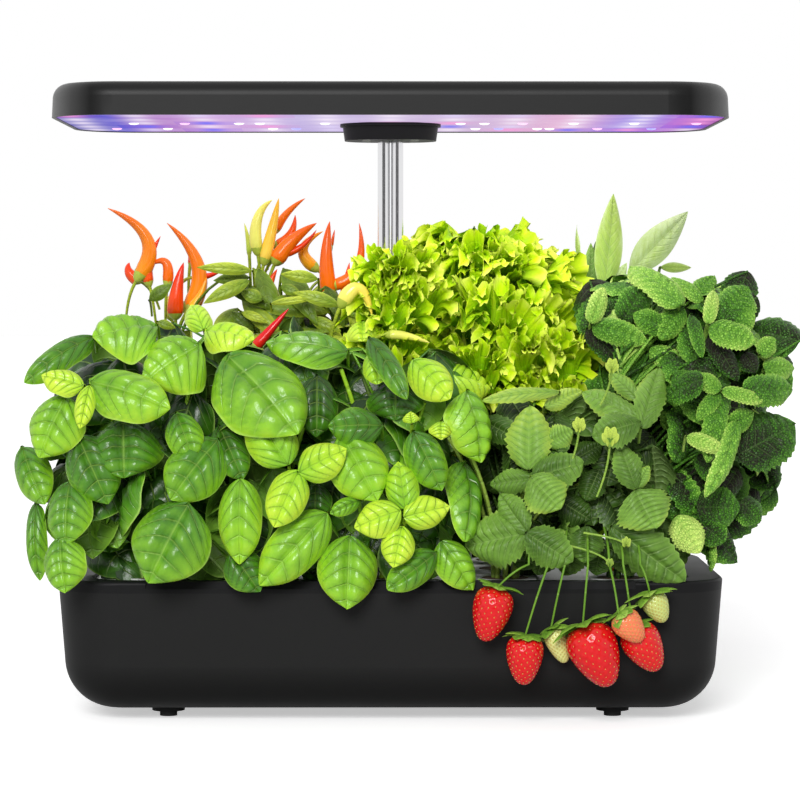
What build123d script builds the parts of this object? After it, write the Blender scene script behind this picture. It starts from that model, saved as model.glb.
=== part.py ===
from build123d import *
import os
from math import cos, radians, tan

# A countertop hydroponic garden: a black water tank with a white growing deck, planted
# baskets, and an LED lamp on a telescopic pole. Millimetres, +Z up, +X right, front at -Y.
# The origin is the middle of the footprint, on the surface that the feet stand on.

# Base: one drafted, rounded body, split into the tank below and the top frame above.
BASE_WIDTH = 404.0
BASE_DEPTH = 216.0
BASE_CORNER = 40.0
RIM_HEIGHT = 86.5
FOOT_HEIGHT = 7.0
BASE_DRAFT = 4.5
BOTTOM_ROUND = 30.0
TANK_WALL = 2.6

# Top frame: the hollow bezel that carries the growing deck.
FRAME_HEIGHT = 7.0
FRAME_SIDE = 21.0
FRAME_FRONT = 12.0
FRAME_WALL = 3.6
FRAME_SKIN = 2.0
FRAME_EDGE_ROUND = 2.0
LEDGE_WIDTH = 4.0
LEDGE_THICKNESS = 1.5
SKIRT_DEPTH = 3.0
SKIRT_THICKNESS = 1.6
BEVEL_LENGTH = 292.0
BEVEL_RUN = 3.0
BEVEL_DROP = 5.0
FIT = 0.2

# Growing deck and its openings.
DECK_CORNER = 24.0
DECK_THICKNESS = 2.5
DECK_GAP = 0.3
POD_SIDE_INSET = 62.0
POD_ROW_INSET = 46.0
POD_BORE = 32.4

# Net baskets and sponges.
BASKET_TOP = 31.6
BASKET_BOTTOM = 24.0
BASKET_FLANGE = 38.0
BASKET_FLANGE_THICKNESS = 1.4
BASKET_DEPTH = 42.0
BASKET_WALL = 1.2
BASKET_SLOTS = 6
BASKET_SLOT_WIDTH = 3.0
BASKET_SLOT_MARGIN = 4.0
SPONGE_GAP = 0.3
SPONGE_DEPTH = 36.0

# Pole: two tubes that slide in a twin-bore column.
POLE_Y = 4.0
TUBE_DIAMETER = 7.8
TUBE_WALL = 0.8
TUBE_SPACING = 8.4
TUBE_BOTTOM = 120.0
TUBE_IN_HUB = 18.0
TUBE_RUNNING = 0.06
COLUMN_WALL = 2.3
COLUMN_TOP = 236.0
CAP_HEIGHT = 10.0
CAP_WALL = 1.6
SOCKET_HEIGHT = 46.0
SOCKET_WALL = 2.0
COLLAR_HEIGHT = 5.0
COLLAR_WALL = 4.0
SLIDE_GAP = 0.4

# Lamp.
LAMP_WIDTH = 410.0
LAMP_DEPTH = 212.0
LAMP_CORNER = 40.0
LAMP_BOTTOM = 364.3
LAMP_HEIGHT = 20.4
LAMP_DRAFT = 3.0
LAMP_TOP_ROUND = 9.0
LAMP_WALL = 2.2
WINDOW_RECESS = 0.6
WINDOW_THICKNESS = 1.5
WINDOW_GAP = 0.3
LED_SPACE = 2.6
BOARD_THICKNESS = 1.6
LED_SIZE = 3.0
LED_HEIGHT = 0.9
LED_COLUMNS = 14
LED_ROWS = 5
LED_PITCH_X = 28.0
LED_PITCH_Y = 40.0
HUB_WIDTH = 60.0
HUB_DEPTH = 50.0
HUB_CORNER = 22.0
HUB_HEIGHT = 10.4
HUB_DRAFT = 8.0
HUB_LIP = 1.6
HUB_LIP_HEIGHT = 1.6
NECK_WIDTH = 44.0
NECK_DEPTH = 34.0
NECK_HEIGHT = 10.0
NECK_CORNER = 11.0
STANDOFF_DIAMETER = 8.0

# Screws.
SCREW_DIAMETER = 3.0
SCREW_HEAD = 5.6
SCREW_HEAD_HEIGHT = 2.0
SCREW_HOLE_GAP = 0.1
HUB_SCREW_X = 15.0
HUB_SCREW_Y = 11.0
BOARD_SCREW_X = 150.0
BOARD_SCREW_Y = 80.0
SCREW_BITE = 4.0

# Feet.
FOOT_SIDE_INSET = 66.0
FOOT_FRONT_INSET = 50.0
FOOT_DISC = 20.0
FOOT_DISC_HEIGHT = 3.6
FOOT_PAD = 10.6

# Buttons and control electronics.
BUTTON_X = 22.0
BUTTON_LENGTH = 14.0
BUTTON_WIDTH = 5.0
BUTTON_PROUD = 0.9
BUTTON_TRAVEL = 0.8
BUTTON_GAP = 0.15
BUTTON_INSET = 7.0
BUTTON_STEM = 2.8
BUTTON_STEM_INSET = 8.4
BUTTON_STEM_REACH = 4.5
SWITCH_PLAY = 0.05
SWITCH_HEIGHT = 4.0
SWITCH_SIDE = 6.0
CONTROL_BOARD_LENGTH = 90.0
CONTROL_BOARD_WIDTH = 12.0
CONTROL_BOARD_THICKNESS = 1.6
HOUSING_LENGTH = 100.0
HOUSING_DEPTH = 17.0
HOUSING_HEIGHT = 19.0
HOUSING_WALL = 1.3
INDICATOR_DIAMETER = 2.0

# Filling port, its lid and the level float.
PORT_INSET = 60.0
PORT_BORE = 30.0
PORT_WALL = 1.6
PORT_DEPTH = 11.0
LID_DIAMETER = 36.0
LID_THICKNESS = 2.0
LID_TAB = 10.0
HINGE_OFFSET = 20.0
HINGE_PIN = 2.0
HINGE_RUNNING = 0.06
HINGE_LIFT = 0.1
KNUCKLE_DIAMETER = 4.6
KNUCKLE_LENGTH = 11.2
EAR_THICKNESS = 3.0
EAR_GAP = 0.2
FLOAT_DIAMETER = 12.0
FLOAT_HEIGHT = 14.0
FLOAT_DROP = 24.0
FLOAT_STEM = 3.2
FLOAT_CAP = 7.0
FLOAT_CAP_HEIGHT = 1.5
FLOAT_RUNNING = 0.1
FLOAT_CAP_LIFT = 0.1
GUIDE_WALL = 1.6
GUIDE_GAP = 0.5
GUIDE_DEPTH = 40.0
GUIDE_SLOT = 3.0
GUIDE_SLOT_MARGIN = 4.0

# Pump.
PUMP_INSET = 96.0
PUMP_WIDTH = 34.0
PUMP_DEPTH = 28.0
PUMP_HEIGHT = 25.0
PUMP_ROUND = 3.0
PUMP_LIFT = 2.6
SUCKER_DIAMETER = 8.0
CHAMBER_DIAMETER = 20.0
CHAMBER_DEPTH = 9.0
COVER_THICKNESS = 2.4
INLET_SLOTS = 5
INLET_SLOT_WIDTH = 2.0
SHAFT_DIAMETER = 2.0
IMPELLER_GAP = 0.6
IMPELLER_VANES = 6
VANE_THICKNESS = 1.2
IMPELLER_HUB = 7.0
NOZZLE_DIAMETER = 7.0
NOZZLE_BORE = 4.6
NOZZLE_HEIGHT = 8.0
HOSE_WALL = 1.5
SPOUT_DEPTH = 8.0
SPOUT_WALL = 1.6

# Power inlet in the back wall.
INLET_INSET = 82.0
INLET_DROP = 22.5
INLET_BODY = 9.0
INLET_FLANGE = 13.0
INLET_FLANGE_THICKNESS = 1.6
INLET_BORE = 5.6
INLET_PIN = 2.0
INLET_LENGTH = 14.0
INLET_STANDOFF = 0.54
INLET_BASE = 2.0
INLET_PIN_DEPTH = 1.0
BOOT_WALL = 1.6
BOOT_GAP = 0.6

# Planting: clear room around the pole, and the limits between neighbouring plants.
SOFT_GAP = 0.3
LEAF_GAP = 3.0
STEM_DIAMETER = 4.0
STALK_DIAMETER = 2.0
STALK_BEND = 0.55
LEAF_ROUND = 9.0
PEPPER_DIAMETER = 10.0
PEPPER_TIP = 2.0
POLE_ROOM_SIDE = 24.0
POLE_ROOM_FRONT = 18.0
POLE_ROOM_BACK = 14.0
BASIL_INSET = 13.0
BASIL_OVERHANG = 2.5
BASIL_STEP = 52.0
CHILLI_REACH = 20.0
LETTUCE_REACH = 16.0
LETTUCE_SPREAD = 11.0
BERRY_REACH = 32.0
CHILLI_HEIGHT = 175.5
STALK_KNEE = 21.5
STALK_FOOT = 39.5

DECK_TOP = RIM_HEIGHT - FRAME_HEIGHT + LEDGE_THICKNESS + DECK_THICKNESS
DECK_UNDER = DECK_TOP - DECK_THICKNESS
SPLIT = RIM_HEIGHT - FRAME_HEIGHT
FLOOR = FOOT_HEIGHT + TANK_WALL
DECK_WIDTH = BASE_WIDTH - 2 * FRAME_SIDE
DECK_DEPTH = BASE_DEPTH - 2 * FRAME_FRONT
POD_X = BASE_WIDTH / 2 - POD_SIDE_INSET
POD_PITCH = POD_X / 2
POD_ROW = BASE_DEPTH / 2 - POD_ROW_INSET
PORT_X = BASE_WIDTH / 2 - PORT_INSET
PUMP_X = BASE_WIDTH / 2 - PUMP_INSET
INLET_X = BASE_WIDTH / 2 - INLET_INSET
INLET_HEIGHT = RIM_HEIGHT - INLET_DROP
FOOT_X = BASE_WIDTH / 2 - FOOT_SIDE_INSET
FOOT_Y = BASE_DEPTH / 2 - FOOT_FRONT_INSET
COLUMN_WIDTH = TUBE_SPACING + TUBE_DIAMETER + 2 * COLUMN_WALL
COLUMN_DEPTH = TUBE_DIAMETER + 2 * COLUMN_WALL
NECK_TOP = LAMP_BOTTOM + NECK_HEIGHT
BOARD_BOTTOM = LAMP_BOTTOM + WINDOW_RECESS + WINDOW_THICKNESS + LED_SPACE
BOARD_TOP = BOARD_BOTTOM + BOARD_THICKNESS
LAMP_CEILING = LAMP_BOTTOM + LAMP_HEIGHT - LAMP_WALL
SPONGE_TOP = DECK_TOP + BASKET_FLANGE_THICKNESS


def slab(width, depth, corner, z_low, z_high, x=0.0, y=0.0):
    """A rounded rectangular plate between two heights."""
    outline = Pos(x, y, z_low) * RectangleRounded(width, depth, corner)
    return extrude(outline, amount=z_high - z_low)


def block(x_low, x_high, y_low, y_high, z_low, z_high):
    """A plain box given by its corners."""
    size = (x_high - x_low, y_high - y_low, z_high - z_low)
    middle = ((x_low + x_high) / 2, (y_low + y_high) / 2, (z_low + z_high) / 2)
    return Pos(*middle) * Box(*size)


def rod(diameter, z_low, z_high, x=0.0, y=0.0):
    """An upright cylinder between two heights."""
    return Pos(x, y, (z_low + z_high) / 2) * Cylinder(diameter / 2, z_high - z_low)


def tube(diameter, bore, z_low, z_high, x=0.0, y=0.0):
    """An upright tube between two heights."""
    return rod(diameter, z_low, z_high, x, y) - rod(bore, z_low, z_high, x, y)


def oval(width, depth, z_low, z_high, y=POLE_Y):
    """An upright bar with round ends, around the pole's middle."""
    return extrude(Pos(0, y, z_low) * SlotOverall(width, depth), amount=z_high - z_low)


def base_form(inset, z_low, bottom_round):
    """The base's drafted outer form, moved inwards by inset and down to z_low."""
    rim = RectangleRounded(BASE_WIDTH - 2 * inset, BASE_DEPTH - 2 * inset, BASE_CORNER - inset)
    form = extrude(Pos(0, 0, RIM_HEIGHT) * rim, amount=-(RIM_HEIGHT - z_low), taper=BASE_DRAFT)
    if bottom_round:
        form = fillet(form.faces().sort_by(Axis.Z)[0].edges(), bottom_round)
    return form


def pod_places():
    """Two rows of five holes and a middle row of two, beside the pole."""
    rows = [(i * POD_PITCH, side * POD_ROW) for side in (-1, 1) for i in range(-2, 3)]
    return rows + [(-POD_PITCH, 0.0), (POD_PITCH, 0.0)]


def tube_places():
    """The pole's two tubes, left and right."""
    return [(-TUBE_SPACING / 2, POLE_Y), (TUBE_SPACING / 2, POLE_Y)]


def twin_bores(z_low, z_high, clearance):
    """Both tubes' bores, with a radial clearance."""
    left, right = tube_places()
    wide = TUBE_DIAMETER + 2 * clearance
    return rod(wide, z_low, z_high, *left) + rod(wide, z_low, z_high, *right)


# ---------------------------------------------------------------- base


def tank():
    """Moulded basin with a dry socket for the column and a hole for the power inlet."""
    body = base_form(0, FOOT_HEIGHT, BOTTOM_ROUND) - base_form(
        TANK_WALL, FLOOR, BOTTOM_ROUND - TANK_WALL
    )
    top_cut = block(-BASE_WIDTH, BASE_WIDTH, -BASE_DEPTH, BASE_DEPTH, SPLIT, RIM_HEIGHT + 1)
    grow = 2 * (FIT + SOCKET_WALL)
    socket = oval(COLUMN_WIDTH + grow, COLUMN_DEPTH + grow, FLOOR, FLOOR + SOCKET_HEIGHT)
    hollow = oval(COLUMN_WIDTH + 2 * FIT, COLUMN_DEPTH + 2 * FIT, FLOOR, FLOOR + SOCKET_HEIGHT)
    inlet_hole = Pos(INLET_X, BASE_DEPTH / 2, INLET_HEIGHT) * Rot(90, 0, 0) * Cylinder(
        INLET_BODY / 2 + FIT / 2, BASE_DEPTH / 4
    )
    return body - top_cut - inlet_hole + (socket - hollow)


def button_slot(x, grow):
    """A button's outline, grown by a gap, as a sketch in plan."""
    y = -BASE_DEPTH / 2 + BUTTON_INSET
    return Pos(x, y, 0) * SlotOverall(BUTTON_LENGTH + 2 * grow, BUTTON_WIDTH + 2 * grow)


def indicator_place(side):
    """The lens beside each button, on its outer side."""
    return side * (BUTTON_X + BUTTON_LENGTH / 2 + 3 * INDICATOR_DIAMETER / 2)


def frame_ring(z_low, z_high, inset, width, depth, corner):
    """A ring between the base's form at an inset and a straight rounded opening."""
    ring = base_form(inset, z_low, 0) - slab(width, depth, corner, z_low - 1, RIM_HEIGHT + 1)
    if z_high < RIM_HEIGHT:
        ring -= block(-BASE_WIDTH, BASE_WIDTH, -BASE_DEPTH, BASE_DEPTH, z_high, RIM_HEIGHT + 1)
    return ring


def top_frame():
    """Hollow bezel with a deck ledge, a front bevel, a locating skirt and button slots."""
    outer = base_form(0, SPLIT, 0)
    outer = fillet(outer.faces().sort_by(Axis.Z)[-1].edges(), FRAME_EDGE_ROUND)
    opening = slab(
        DECK_WIDTH, DECK_DEPTH, DECK_CORNER, SPLIT + LEDGE_THICKNESS, RIM_HEIGHT + 1
    )
    inner = slab(
        DECK_WIDTH - 2 * LEDGE_WIDTH,
        DECK_DEPTH - 2 * LEDGE_WIDTH,
        DECK_CORNER - LEDGE_WIDTH,
        SPLIT - 1,
        RIM_HEIGHT,
    )
    hollow = frame_ring(
        SPLIT,
        RIM_HEIGHT - FRAME_SKIN,
        FRAME_WALL,
        DECK_WIDTH + 2 * FRAME_SKIN,
        DECK_DEPTH + 2 * FRAME_SKIN,
        DECK_CORNER + FRAME_SKIN,
    )
    skirt_wall = base_form(TANK_WALL + FIT, SPLIT - SKIRT_DEPTH, 0) - base_form(
        TANK_WALL + FIT + SKIRT_THICKNESS, SPLIT - SKIRT_DEPTH, 0
    )
    skirt_top = block(-BASE_WIDTH, BASE_WIDTH, -BASE_DEPTH, BASE_DEPTH, SPLIT, RIM_HEIGHT + 1)
    half = HOUSING_LENGTH / 2 + FIT
    front = -BASE_DEPTH / 2
    housing_room = block(-half, half, front, front + HOUSING_DEPTH + FRAME_WALL, FOOT_HEIGHT, SPLIT)
    skirt = skirt_wall - skirt_top - housing_room
    ledge_gap = block(
        -half, half, front + FRAME_WALL, front + FRAME_FRONT - FRAME_SKIN, SPLIT - 1, DECK_UNDER
    )
    profile = Polyline(
        (front - 1, RIM_HEIGHT + 1),
        (front - 1, RIM_HEIGHT - BEVEL_DROP),
        (front, RIM_HEIGHT - BEVEL_DROP),
        (front + BEVEL_RUN, RIM_HEIGHT),
        (front + BEVEL_RUN, RIM_HEIGHT + 1),
        close=True,
    )
    bevel = extrude(Plane.YZ * make_face(profile), amount=BEVEL_LENGTH / 2, both=True)
    frame = outer - opening - inner - hollow - ledge_gap - bevel + skirt
    for side in (-1, 1):
        slot = Pos(0, 0, SPLIT) * button_slot(side * BUTTON_X, BUTTON_GAP)
        frame -= extrude(slot, amount=FRAME_HEIGHT + 1)
        frame -= rod(
            INDICATOR_DIAMETER,
            SPLIT,
            RIM_HEIGHT + 1,
            indicator_place(side),
            front + BUTTON_INSET,
        )
    return frame


def indicator_lenses():
    """Two small clear lenses, flush in the frame beside the buttons."""
    y = -BASE_DEPTH / 2 + BUTTON_INSET
    return [
        rod(INDICATOR_DIAMETER, RIM_HEIGHT - FRAME_SKIN, RIM_HEIGHT, indicator_place(side), y)
        for side in (-1, 1)
    ]


def foot_discs():
    """The four moulded foot bosses under the tank."""
    low = FOOT_HEIGHT - FOOT_DISC_HEIGHT
    return [
        rod(FOOT_DISC, low, FOOT_HEIGHT, x, y) for x in (-FOOT_X, FOOT_X) for y in (-FOOT_Y, FOOT_Y)
    ]


def foot_pads():
    """The four rubber pads that the garden stands on."""
    high = FOOT_HEIGHT - FOOT_DISC_HEIGHT
    return [rod(FOOT_PAD, 0, high, x, y) for x in (-FOOT_X, FOOT_X) for y in (-FOOT_Y, FOOT_Y)]


# ---------------------------------------------------------------- controls

STEM_Y = -BASE_DEPTH / 2 + BUTTON_STEM_INSET
STEM_LOW = RIM_HEIGHT - FRAME_HEIGHT - BUTTON_STEM_REACH
SWITCH_TOP = STEM_LOW - BUTTON_TRAVEL - SWITCH_PLAY
CONTROL_BOARD_TOP = SWITCH_TOP - SWITCH_HEIGHT
HOUSING_FRONT = STEM_Y - BUTTON_STEM / 2 - FIT - HOUSING_WALL
HOUSING_BACK = HOUSING_FRONT + HOUSING_DEPTH


def button(side):
    """A push button: a rounded cap in the frame's slot, and a stem down to its switch."""
    cap = extrude(
        Pos(0, 0, RIM_HEIGHT - FRAME_SKIN - 1) * button_slot(side * BUTTON_X, 0),
        amount=FRAME_SKIN + 1 + BUTTON_PROUD,
    )
    cap = fillet(cap.faces().sort_by(Axis.Z)[-1].edges(), BUTTON_PROUD / 2)
    stem = rod(BUTTON_STEM, STEM_LOW, RIM_HEIGHT - FRAME_SKIN, side * BUTTON_X, STEM_Y)
    return cap + stem


def control_housing():
    """Open-topped dry tray under the frame's front bar, behind the tank's wall."""
    low = SPLIT - HOUSING_HEIGHT
    half = HOUSING_LENGTH / 2
    outer = block(-half, half, HOUSING_FRONT, HOUSING_BACK, low, SPLIT)
    wall = HOUSING_WALL
    inner = block(
        -half + wall, half - wall, HOUSING_FRONT + wall, HOUSING_BACK - wall, low + wall, SPLIT
    )
    rails = [
        block(
            x - wall,
            x + wall,
            HOUSING_FRONT + wall,
            HOUSING_BACK - wall,
            low + wall,
            CONTROL_BOARD_TOP - CONTROL_BOARD_THICKNESS,
        )
        for x in (-CONTROL_BOARD_LENGTH / 3, CONTROL_BOARD_LENGTH / 3)
    ]
    return outer - inner + rails


def control_board():
    """The circuit board with the timer and the pump driver."""
    front = HOUSING_FRONT + HOUSING_WALL + FIT
    half = CONTROL_BOARD_LENGTH / 2
    low = CONTROL_BOARD_TOP - CONTROL_BOARD_THICKNESS
    return block(-half, half, front, front + CONTROL_BOARD_WIDTH, low, CONTROL_BOARD_TOP)


def button_switches():
    """A tactile switch under each button's stem."""
    front = HOUSING_FRONT + HOUSING_WALL + FIT
    half = SWITCH_SIDE / 2
    return [
        block(
            side * BUTTON_X - half,
            side * BUTTON_X + half,
            front,
            front + SWITCH_SIDE,
            CONTROL_BOARD_TOP,
            SWITCH_TOP,
        )
        for side in (-1, 1)
    ]


def back_wall(z):
    """The back wall's outer face at a height."""
    return BASE_DEPTH / 2 - (RIM_HEIGHT - z) * tan(radians(BASE_DRAFT))


def along_back(diameter, y_low, y_high):
    """A cylinder along Y at the power inlet's place."""
    middle = (y_low + y_high) / 2
    return (
        Pos(INLET_X, middle, INLET_HEIGHT) * Rot(90, 0, 0) * Cylinder(diameter / 2, y_high - y_low)
    )


def power_socket():
    """Barrel jack: flange outside the wall, body through it, centre pin in its bore."""
    face = back_wall(INLET_HEIGHT) + INLET_STANDOFF
    body = along_back(INLET_BODY, face - INLET_LENGTH, face)
    flange = along_back(INLET_FLANGE, face, face + INLET_FLANGE_THICKNESS)
    floor = face - INLET_LENGTH + INLET_BASE
    bore = along_back(INLET_BORE, floor, face + INLET_FLANGE_THICKNESS + 1)
    return body + flange - bore + along_back(INLET_PIN, floor, face - INLET_PIN_DEPTH)


def socket_boot():
    """Rubber boot that keeps water off the jack inside the tank."""
    inner_face = back_wall(INLET_HEIGHT) - TANK_WALL / cos(radians(BASE_DRAFT)) - BOOT_GAP
    back = back_wall(INLET_HEIGHT) + INLET_STANDOFF - INLET_LENGTH
    outer = along_back(INLET_BODY + 2 * BOOT_WALL, back - BOOT_WALL, inner_face)
    return outer - along_back(INLET_BODY, back, inner_face)


# ---------------------------------------------------------------- deck


def deck():
    """Growing deck with pod holes, filling chute, float hole, pole hole and lid ears."""
    plate = slab(
        DECK_WIDTH - 2 * DECK_GAP,
        DECK_DEPTH - 2 * DECK_GAP,
        DECK_CORNER - DECK_GAP,
        DECK_UNDER,
        DECK_TOP,
    )
    chute = rod(PORT_BORE + 2 * PORT_WALL, DECK_UNDER - PORT_DEPTH, DECK_UNDER, -PORT_X)
    spout_bore = NOZZLE_DIAMETER + 2 * HOSE_WALL + 2 * SLIDE_GAP
    spout = tube(
        spout_bore + 2 * SPOUT_WALL,
        spout_bore,
        DECK_UNDER - SPOUT_DEPTH,
        DECK_UNDER,
        PUMP_X,
        NOZZLE_Y,
    )
    gap = 2 * SLIDE_GAP
    plate = plate + chute + spout
    plate -= rod(PORT_BORE, DECK_UNDER - PORT_DEPTH, DECK_TOP, -PORT_X)
    plate -= oval(COLUMN_WIDTH + gap, COLUMN_DEPTH + gap, DECK_UNDER, DECK_TOP)
    plate -= rod(FLOAT_STEM + 2 * FLOAT_RUNNING, DECK_UNDER, DECK_TOP, PORT_X)
    for x, y in pod_places():
        plate -= rod(POD_BORE, DECK_UNDER, DECK_TOP, x, y)
    for side in (-1, 1):
        inner = KNUCKLE_LENGTH / 2 + EAR_GAP
        x = -PORT_X + side * (inner + EAR_THICKNESS / 2)
        ear = block(
            x - EAR_THICKNESS / 2,
            x + EAR_THICKNESS / 2,
            HINGE_OFFSET - KNUCKLE_DIAMETER / 2,
            HINGE_OFFSET + KNUCKLE_DIAMETER / 2,
            DECK_TOP,
            HINGE_Z + KNUCKLE_DIAMETER / 2,
        )
        plate += ear
    return plate - along_hinge(HINGE_PIN, 4 * EAR_THICKNESS + KNUCKLE_LENGTH)


HINGE_Z = DECK_TOP + SOFT_GAP + KNUCKLE_DIAMETER / 2 + HINGE_LIFT


def along_hinge(diameter, length):
    """A cylinder on the lid's hinge axis."""
    return Pos(-PORT_X, HINGE_OFFSET, HINGE_Z) * Rot(0, 90, 0) * Cylinder(diameter / 2, length)


def fill_lid():
    """Round flap over the filling port, with a knuckle behind and a finger tab in front."""
    low = DECK_TOP + SOFT_GAP
    high = low + LID_THICKNESS
    disc = rod(LID_DIAMETER, low, high, -PORT_X)
    radius = LID_DIAMETER / 2
    tab = block(-PORT_X - LID_TAB / 2, -PORT_X + LID_TAB / 2, -radius - LID_THICKNESS, 0, low, high)
    half = KNUCKLE_LENGTH / 2
    web = block(-PORT_X - half, -PORT_X + half, 0, HINGE_OFFSET, low, high)
    knuckle = along_hinge(KNUCKLE_DIAMETER, KNUCKLE_LENGTH)
    bore = along_hinge(HINGE_PIN + 2 * HINGE_RUNNING, KNUCKLE_LENGTH + 1)
    return disc + tab + web + knuckle - bore


def lid_pin():
    """Steel hinge pin, held in the deck's two ears."""
    return along_hinge(HINGE_PIN, KNUCKLE_LENGTH + 2 * (EAR_GAP + EAR_THICKNESS))


def float_guide():
    """Tube under the deck that guides the float, slotted so that water gets in."""
    bore = FLOAT_DIAMETER + 2 * GUIDE_GAP
    guide = tube(bore + 2 * GUIDE_WALL, bore, DECK_UNDER - GUIDE_DEPTH, DECK_UNDER, PORT_X)
    slot = block(
        PORT_X - GUIDE_SLOT / 2,
        PORT_X + GUIDE_SLOT / 2,
        -bore,
        bore,
        DECK_UNDER - GUIDE_DEPTH + GUIDE_SLOT_MARGIN,
        DECK_UNDER - GUIDE_SLOT_MARGIN,
    )
    return guide - slot


def level_float():
    """Hollow-moulded float with a stem through the deck and a bright cap on top."""
    top = DECK_UNDER - FLOAT_DROP
    body = rod(FLOAT_DIAMETER, top - FLOAT_HEIGHT, top, PORT_X)
    cap_low = DECK_TOP + FLOAT_CAP_LIFT
    stem = rod(FLOAT_STEM, top, cap_low, PORT_X)
    cap = rod(FLOAT_CAP, cap_low, cap_low + FLOAT_CAP_HEIGHT, PORT_X)
    return body + stem + cap


def column_collar():
    """Trim ring on the deck around the column."""
    gap = 2 * SLIDE_GAP
    outer = oval(
        COLUMN_WIDTH + gap + 2 * COLLAR_WALL,
        COLUMN_DEPTH + gap + 2 * COLLAR_WALL,
        DECK_TOP,
        DECK_TOP + COLLAR_HEIGHT,
    )
    outer = chamfer(outer.faces().sort_by(Axis.Z)[-1].edges(), COLLAR_WALL / 3)
    return outer - oval(COLUMN_WIDTH + gap, COLUMN_DEPTH + gap, DECK_TOP, DECK_TOP + COLLAR_HEIGHT)


def cone_body(top, bottom, z_low, z_high):
    """An upright cone frustum that narrows downwards."""
    return Pos(0, 0, (z_low + z_high) / 2) * Cone(bottom / 2, top / 2, z_high - z_low)


def basket():
    """One net basket at the origin: a tapered cup with a flange and side slots."""
    low = DECK_TOP - BASKET_DEPTH
    wall = 2 * BASKET_WALL
    cup = cone_body(BASKET_TOP, BASKET_BOTTOM, low, DECK_TOP)
    cup += rod(BASKET_FLANGE, DECK_TOP, SPONGE_TOP)
    cup -= cone_body(BASKET_TOP - wall, BASKET_BOTTOM - wall, low + BASKET_WALL, SPONGE_TOP)
    for i in range(BASKET_SLOTS):
        slot = block(
            0,
            BASKET_TOP,
            -BASKET_SLOT_WIDTH / 2,
            BASKET_SLOT_WIDTH / 2,
            low + BASKET_SLOT_MARGIN,
            DECK_TOP - BASKET_DEPTH / 3,
        )
        cup -= Rot(0, 0, i * 360 / BASKET_SLOTS) * slot
    return cup


def sponge():
    """One growing sponge at the origin, in its basket."""
    shrink = 2 * (BASKET_WALL + SPONGE_GAP)
    slope = (BASKET_TOP - BASKET_BOTTOM) / BASKET_DEPTH
    low = SPONGE_TOP - SPONGE_DEPTH
    top = BASKET_TOP - shrink - slope * BASKET_FLANGE_THICKNESS
    return cone_body(top, top - slope * SPONGE_DEPTH, low, SPONGE_TOP)


def at_pods(piece):
    """A copy of the piece in every pod."""
    return [Pos(x, y, 0) * piece for x, y in pod_places()]


# ---------------------------------------------------------------- pump

PUMP_FLOOR = FLOOR + PUMP_LIFT
PUMP_TOP = PUMP_FLOOR + PUMP_HEIGHT
PUMP_FRONT = -PUMP_DEPTH / 2
CHAMBER_Z = PUMP_FLOOR + PUMP_HEIGHT / 2
NOZZLE_Y = PUMP_FRONT + CHAMBER_DEPTH / 2


def along_pump(diameter, y_low, y_high):
    """A cylinder along Y on the impeller's axis."""
    middle = (y_low + y_high) / 2
    return Pos(PUMP_X, middle, CHAMBER_Z) * Rot(90, 0, 0) * Cylinder(diameter / 2, y_high - y_low)


def pump_housing():
    """Sealed motor block with an open impeller chamber, its shaft and an outlet nozzle."""
    half = PUMP_WIDTH / 2
    body = block(
        PUMP_X - half, PUMP_X + half, PUMP_FRONT, PUMP_DEPTH / 2, PUMP_FLOOR, PUMP_TOP
    )
    body = fillet(body.edges().filter_by(Axis.Y), PUMP_ROUND)
    nozzle = rod(NOZZLE_DIAMETER, PUMP_TOP, PUMP_TOP + NOZZLE_HEIGHT, PUMP_X, NOZZLE_Y)
    body = body + nozzle - along_pump(CHAMBER_DIAMETER, PUMP_FRONT, PUMP_FRONT + CHAMBER_DEPTH)
    body -= rod(NOZZLE_BORE, CHAMBER_Z, PUMP_TOP + NOZZLE_HEIGHT, PUMP_X, NOZZLE_Y)
    return body + along_pump(SHAFT_DIAMETER, PUMP_FRONT, PUMP_FRONT + CHAMBER_DEPTH)


def pump_cover():
    """Slotted intake cover over the impeller chamber."""
    half = PUMP_WIDTH / 2 - PUMP_ROUND
    cover = block(
        PUMP_X - half,
        PUMP_X + half,
        PUMP_FRONT - COVER_THICKNESS,
        PUMP_FRONT,
        PUMP_FLOOR + PUMP_ROUND,
        PUMP_TOP - PUMP_ROUND,
    )
    pitch = 2 * INLET_SLOT_WIDTH
    for i in range(INLET_SLOTS):
        z = CHAMBER_Z + (i - (INLET_SLOTS - 1) / 2) * pitch
        cover -= block(
            PUMP_X - CHAMBER_DIAMETER / 2,
            PUMP_X + CHAMBER_DIAMETER / 2,
            PUMP_FRONT - COVER_THICKNESS,
            PUMP_FRONT,
            z - INLET_SLOT_WIDTH / 2,
            z + INLET_SLOT_WIDTH / 2,
        )
    return cover


def pump_impeller():
    """Vaned impeller that turns on the pump's fixed shaft."""
    low = PUMP_FRONT + IMPELLER_GAP
    high = PUMP_FRONT + CHAMBER_DEPTH - IMPELLER_GAP
    wheel = along_pump(IMPELLER_HUB, low, high)
    reach = CHAMBER_DIAMETER / 2 - IMPELLER_GAP
    for i in range(IMPELLER_VANES):
        vane = Pos(reach / 2, 0, 0) * Box(reach, high - low, VANE_THICKNESS)
        wheel += Pos(PUMP_X, (low + high) / 2, CHAMBER_Z) * Rot(0, i * 360 / IMPELLER_VANES, 0) * vane
    return wheel - along_pump(SHAFT_DIAMETER + 2 * HINGE_RUNNING, low - 1, high + 1)


def pump_suckers():
    """Four rubber suckers that hold the pump on the tank's floor."""
    x_half = PUMP_WIDTH / 2 - SUCKER_DIAMETER / 2
    y_half = PUMP_DEPTH / 2 - SUCKER_DIAMETER / 2
    return [
        rod(SUCKER_DIAMETER, FLOOR, PUMP_FLOOR, PUMP_X + sx * x_half, sy * y_half)
        for sx in (-1, 1)
        for sy in (-1, 1)
    ]


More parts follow.
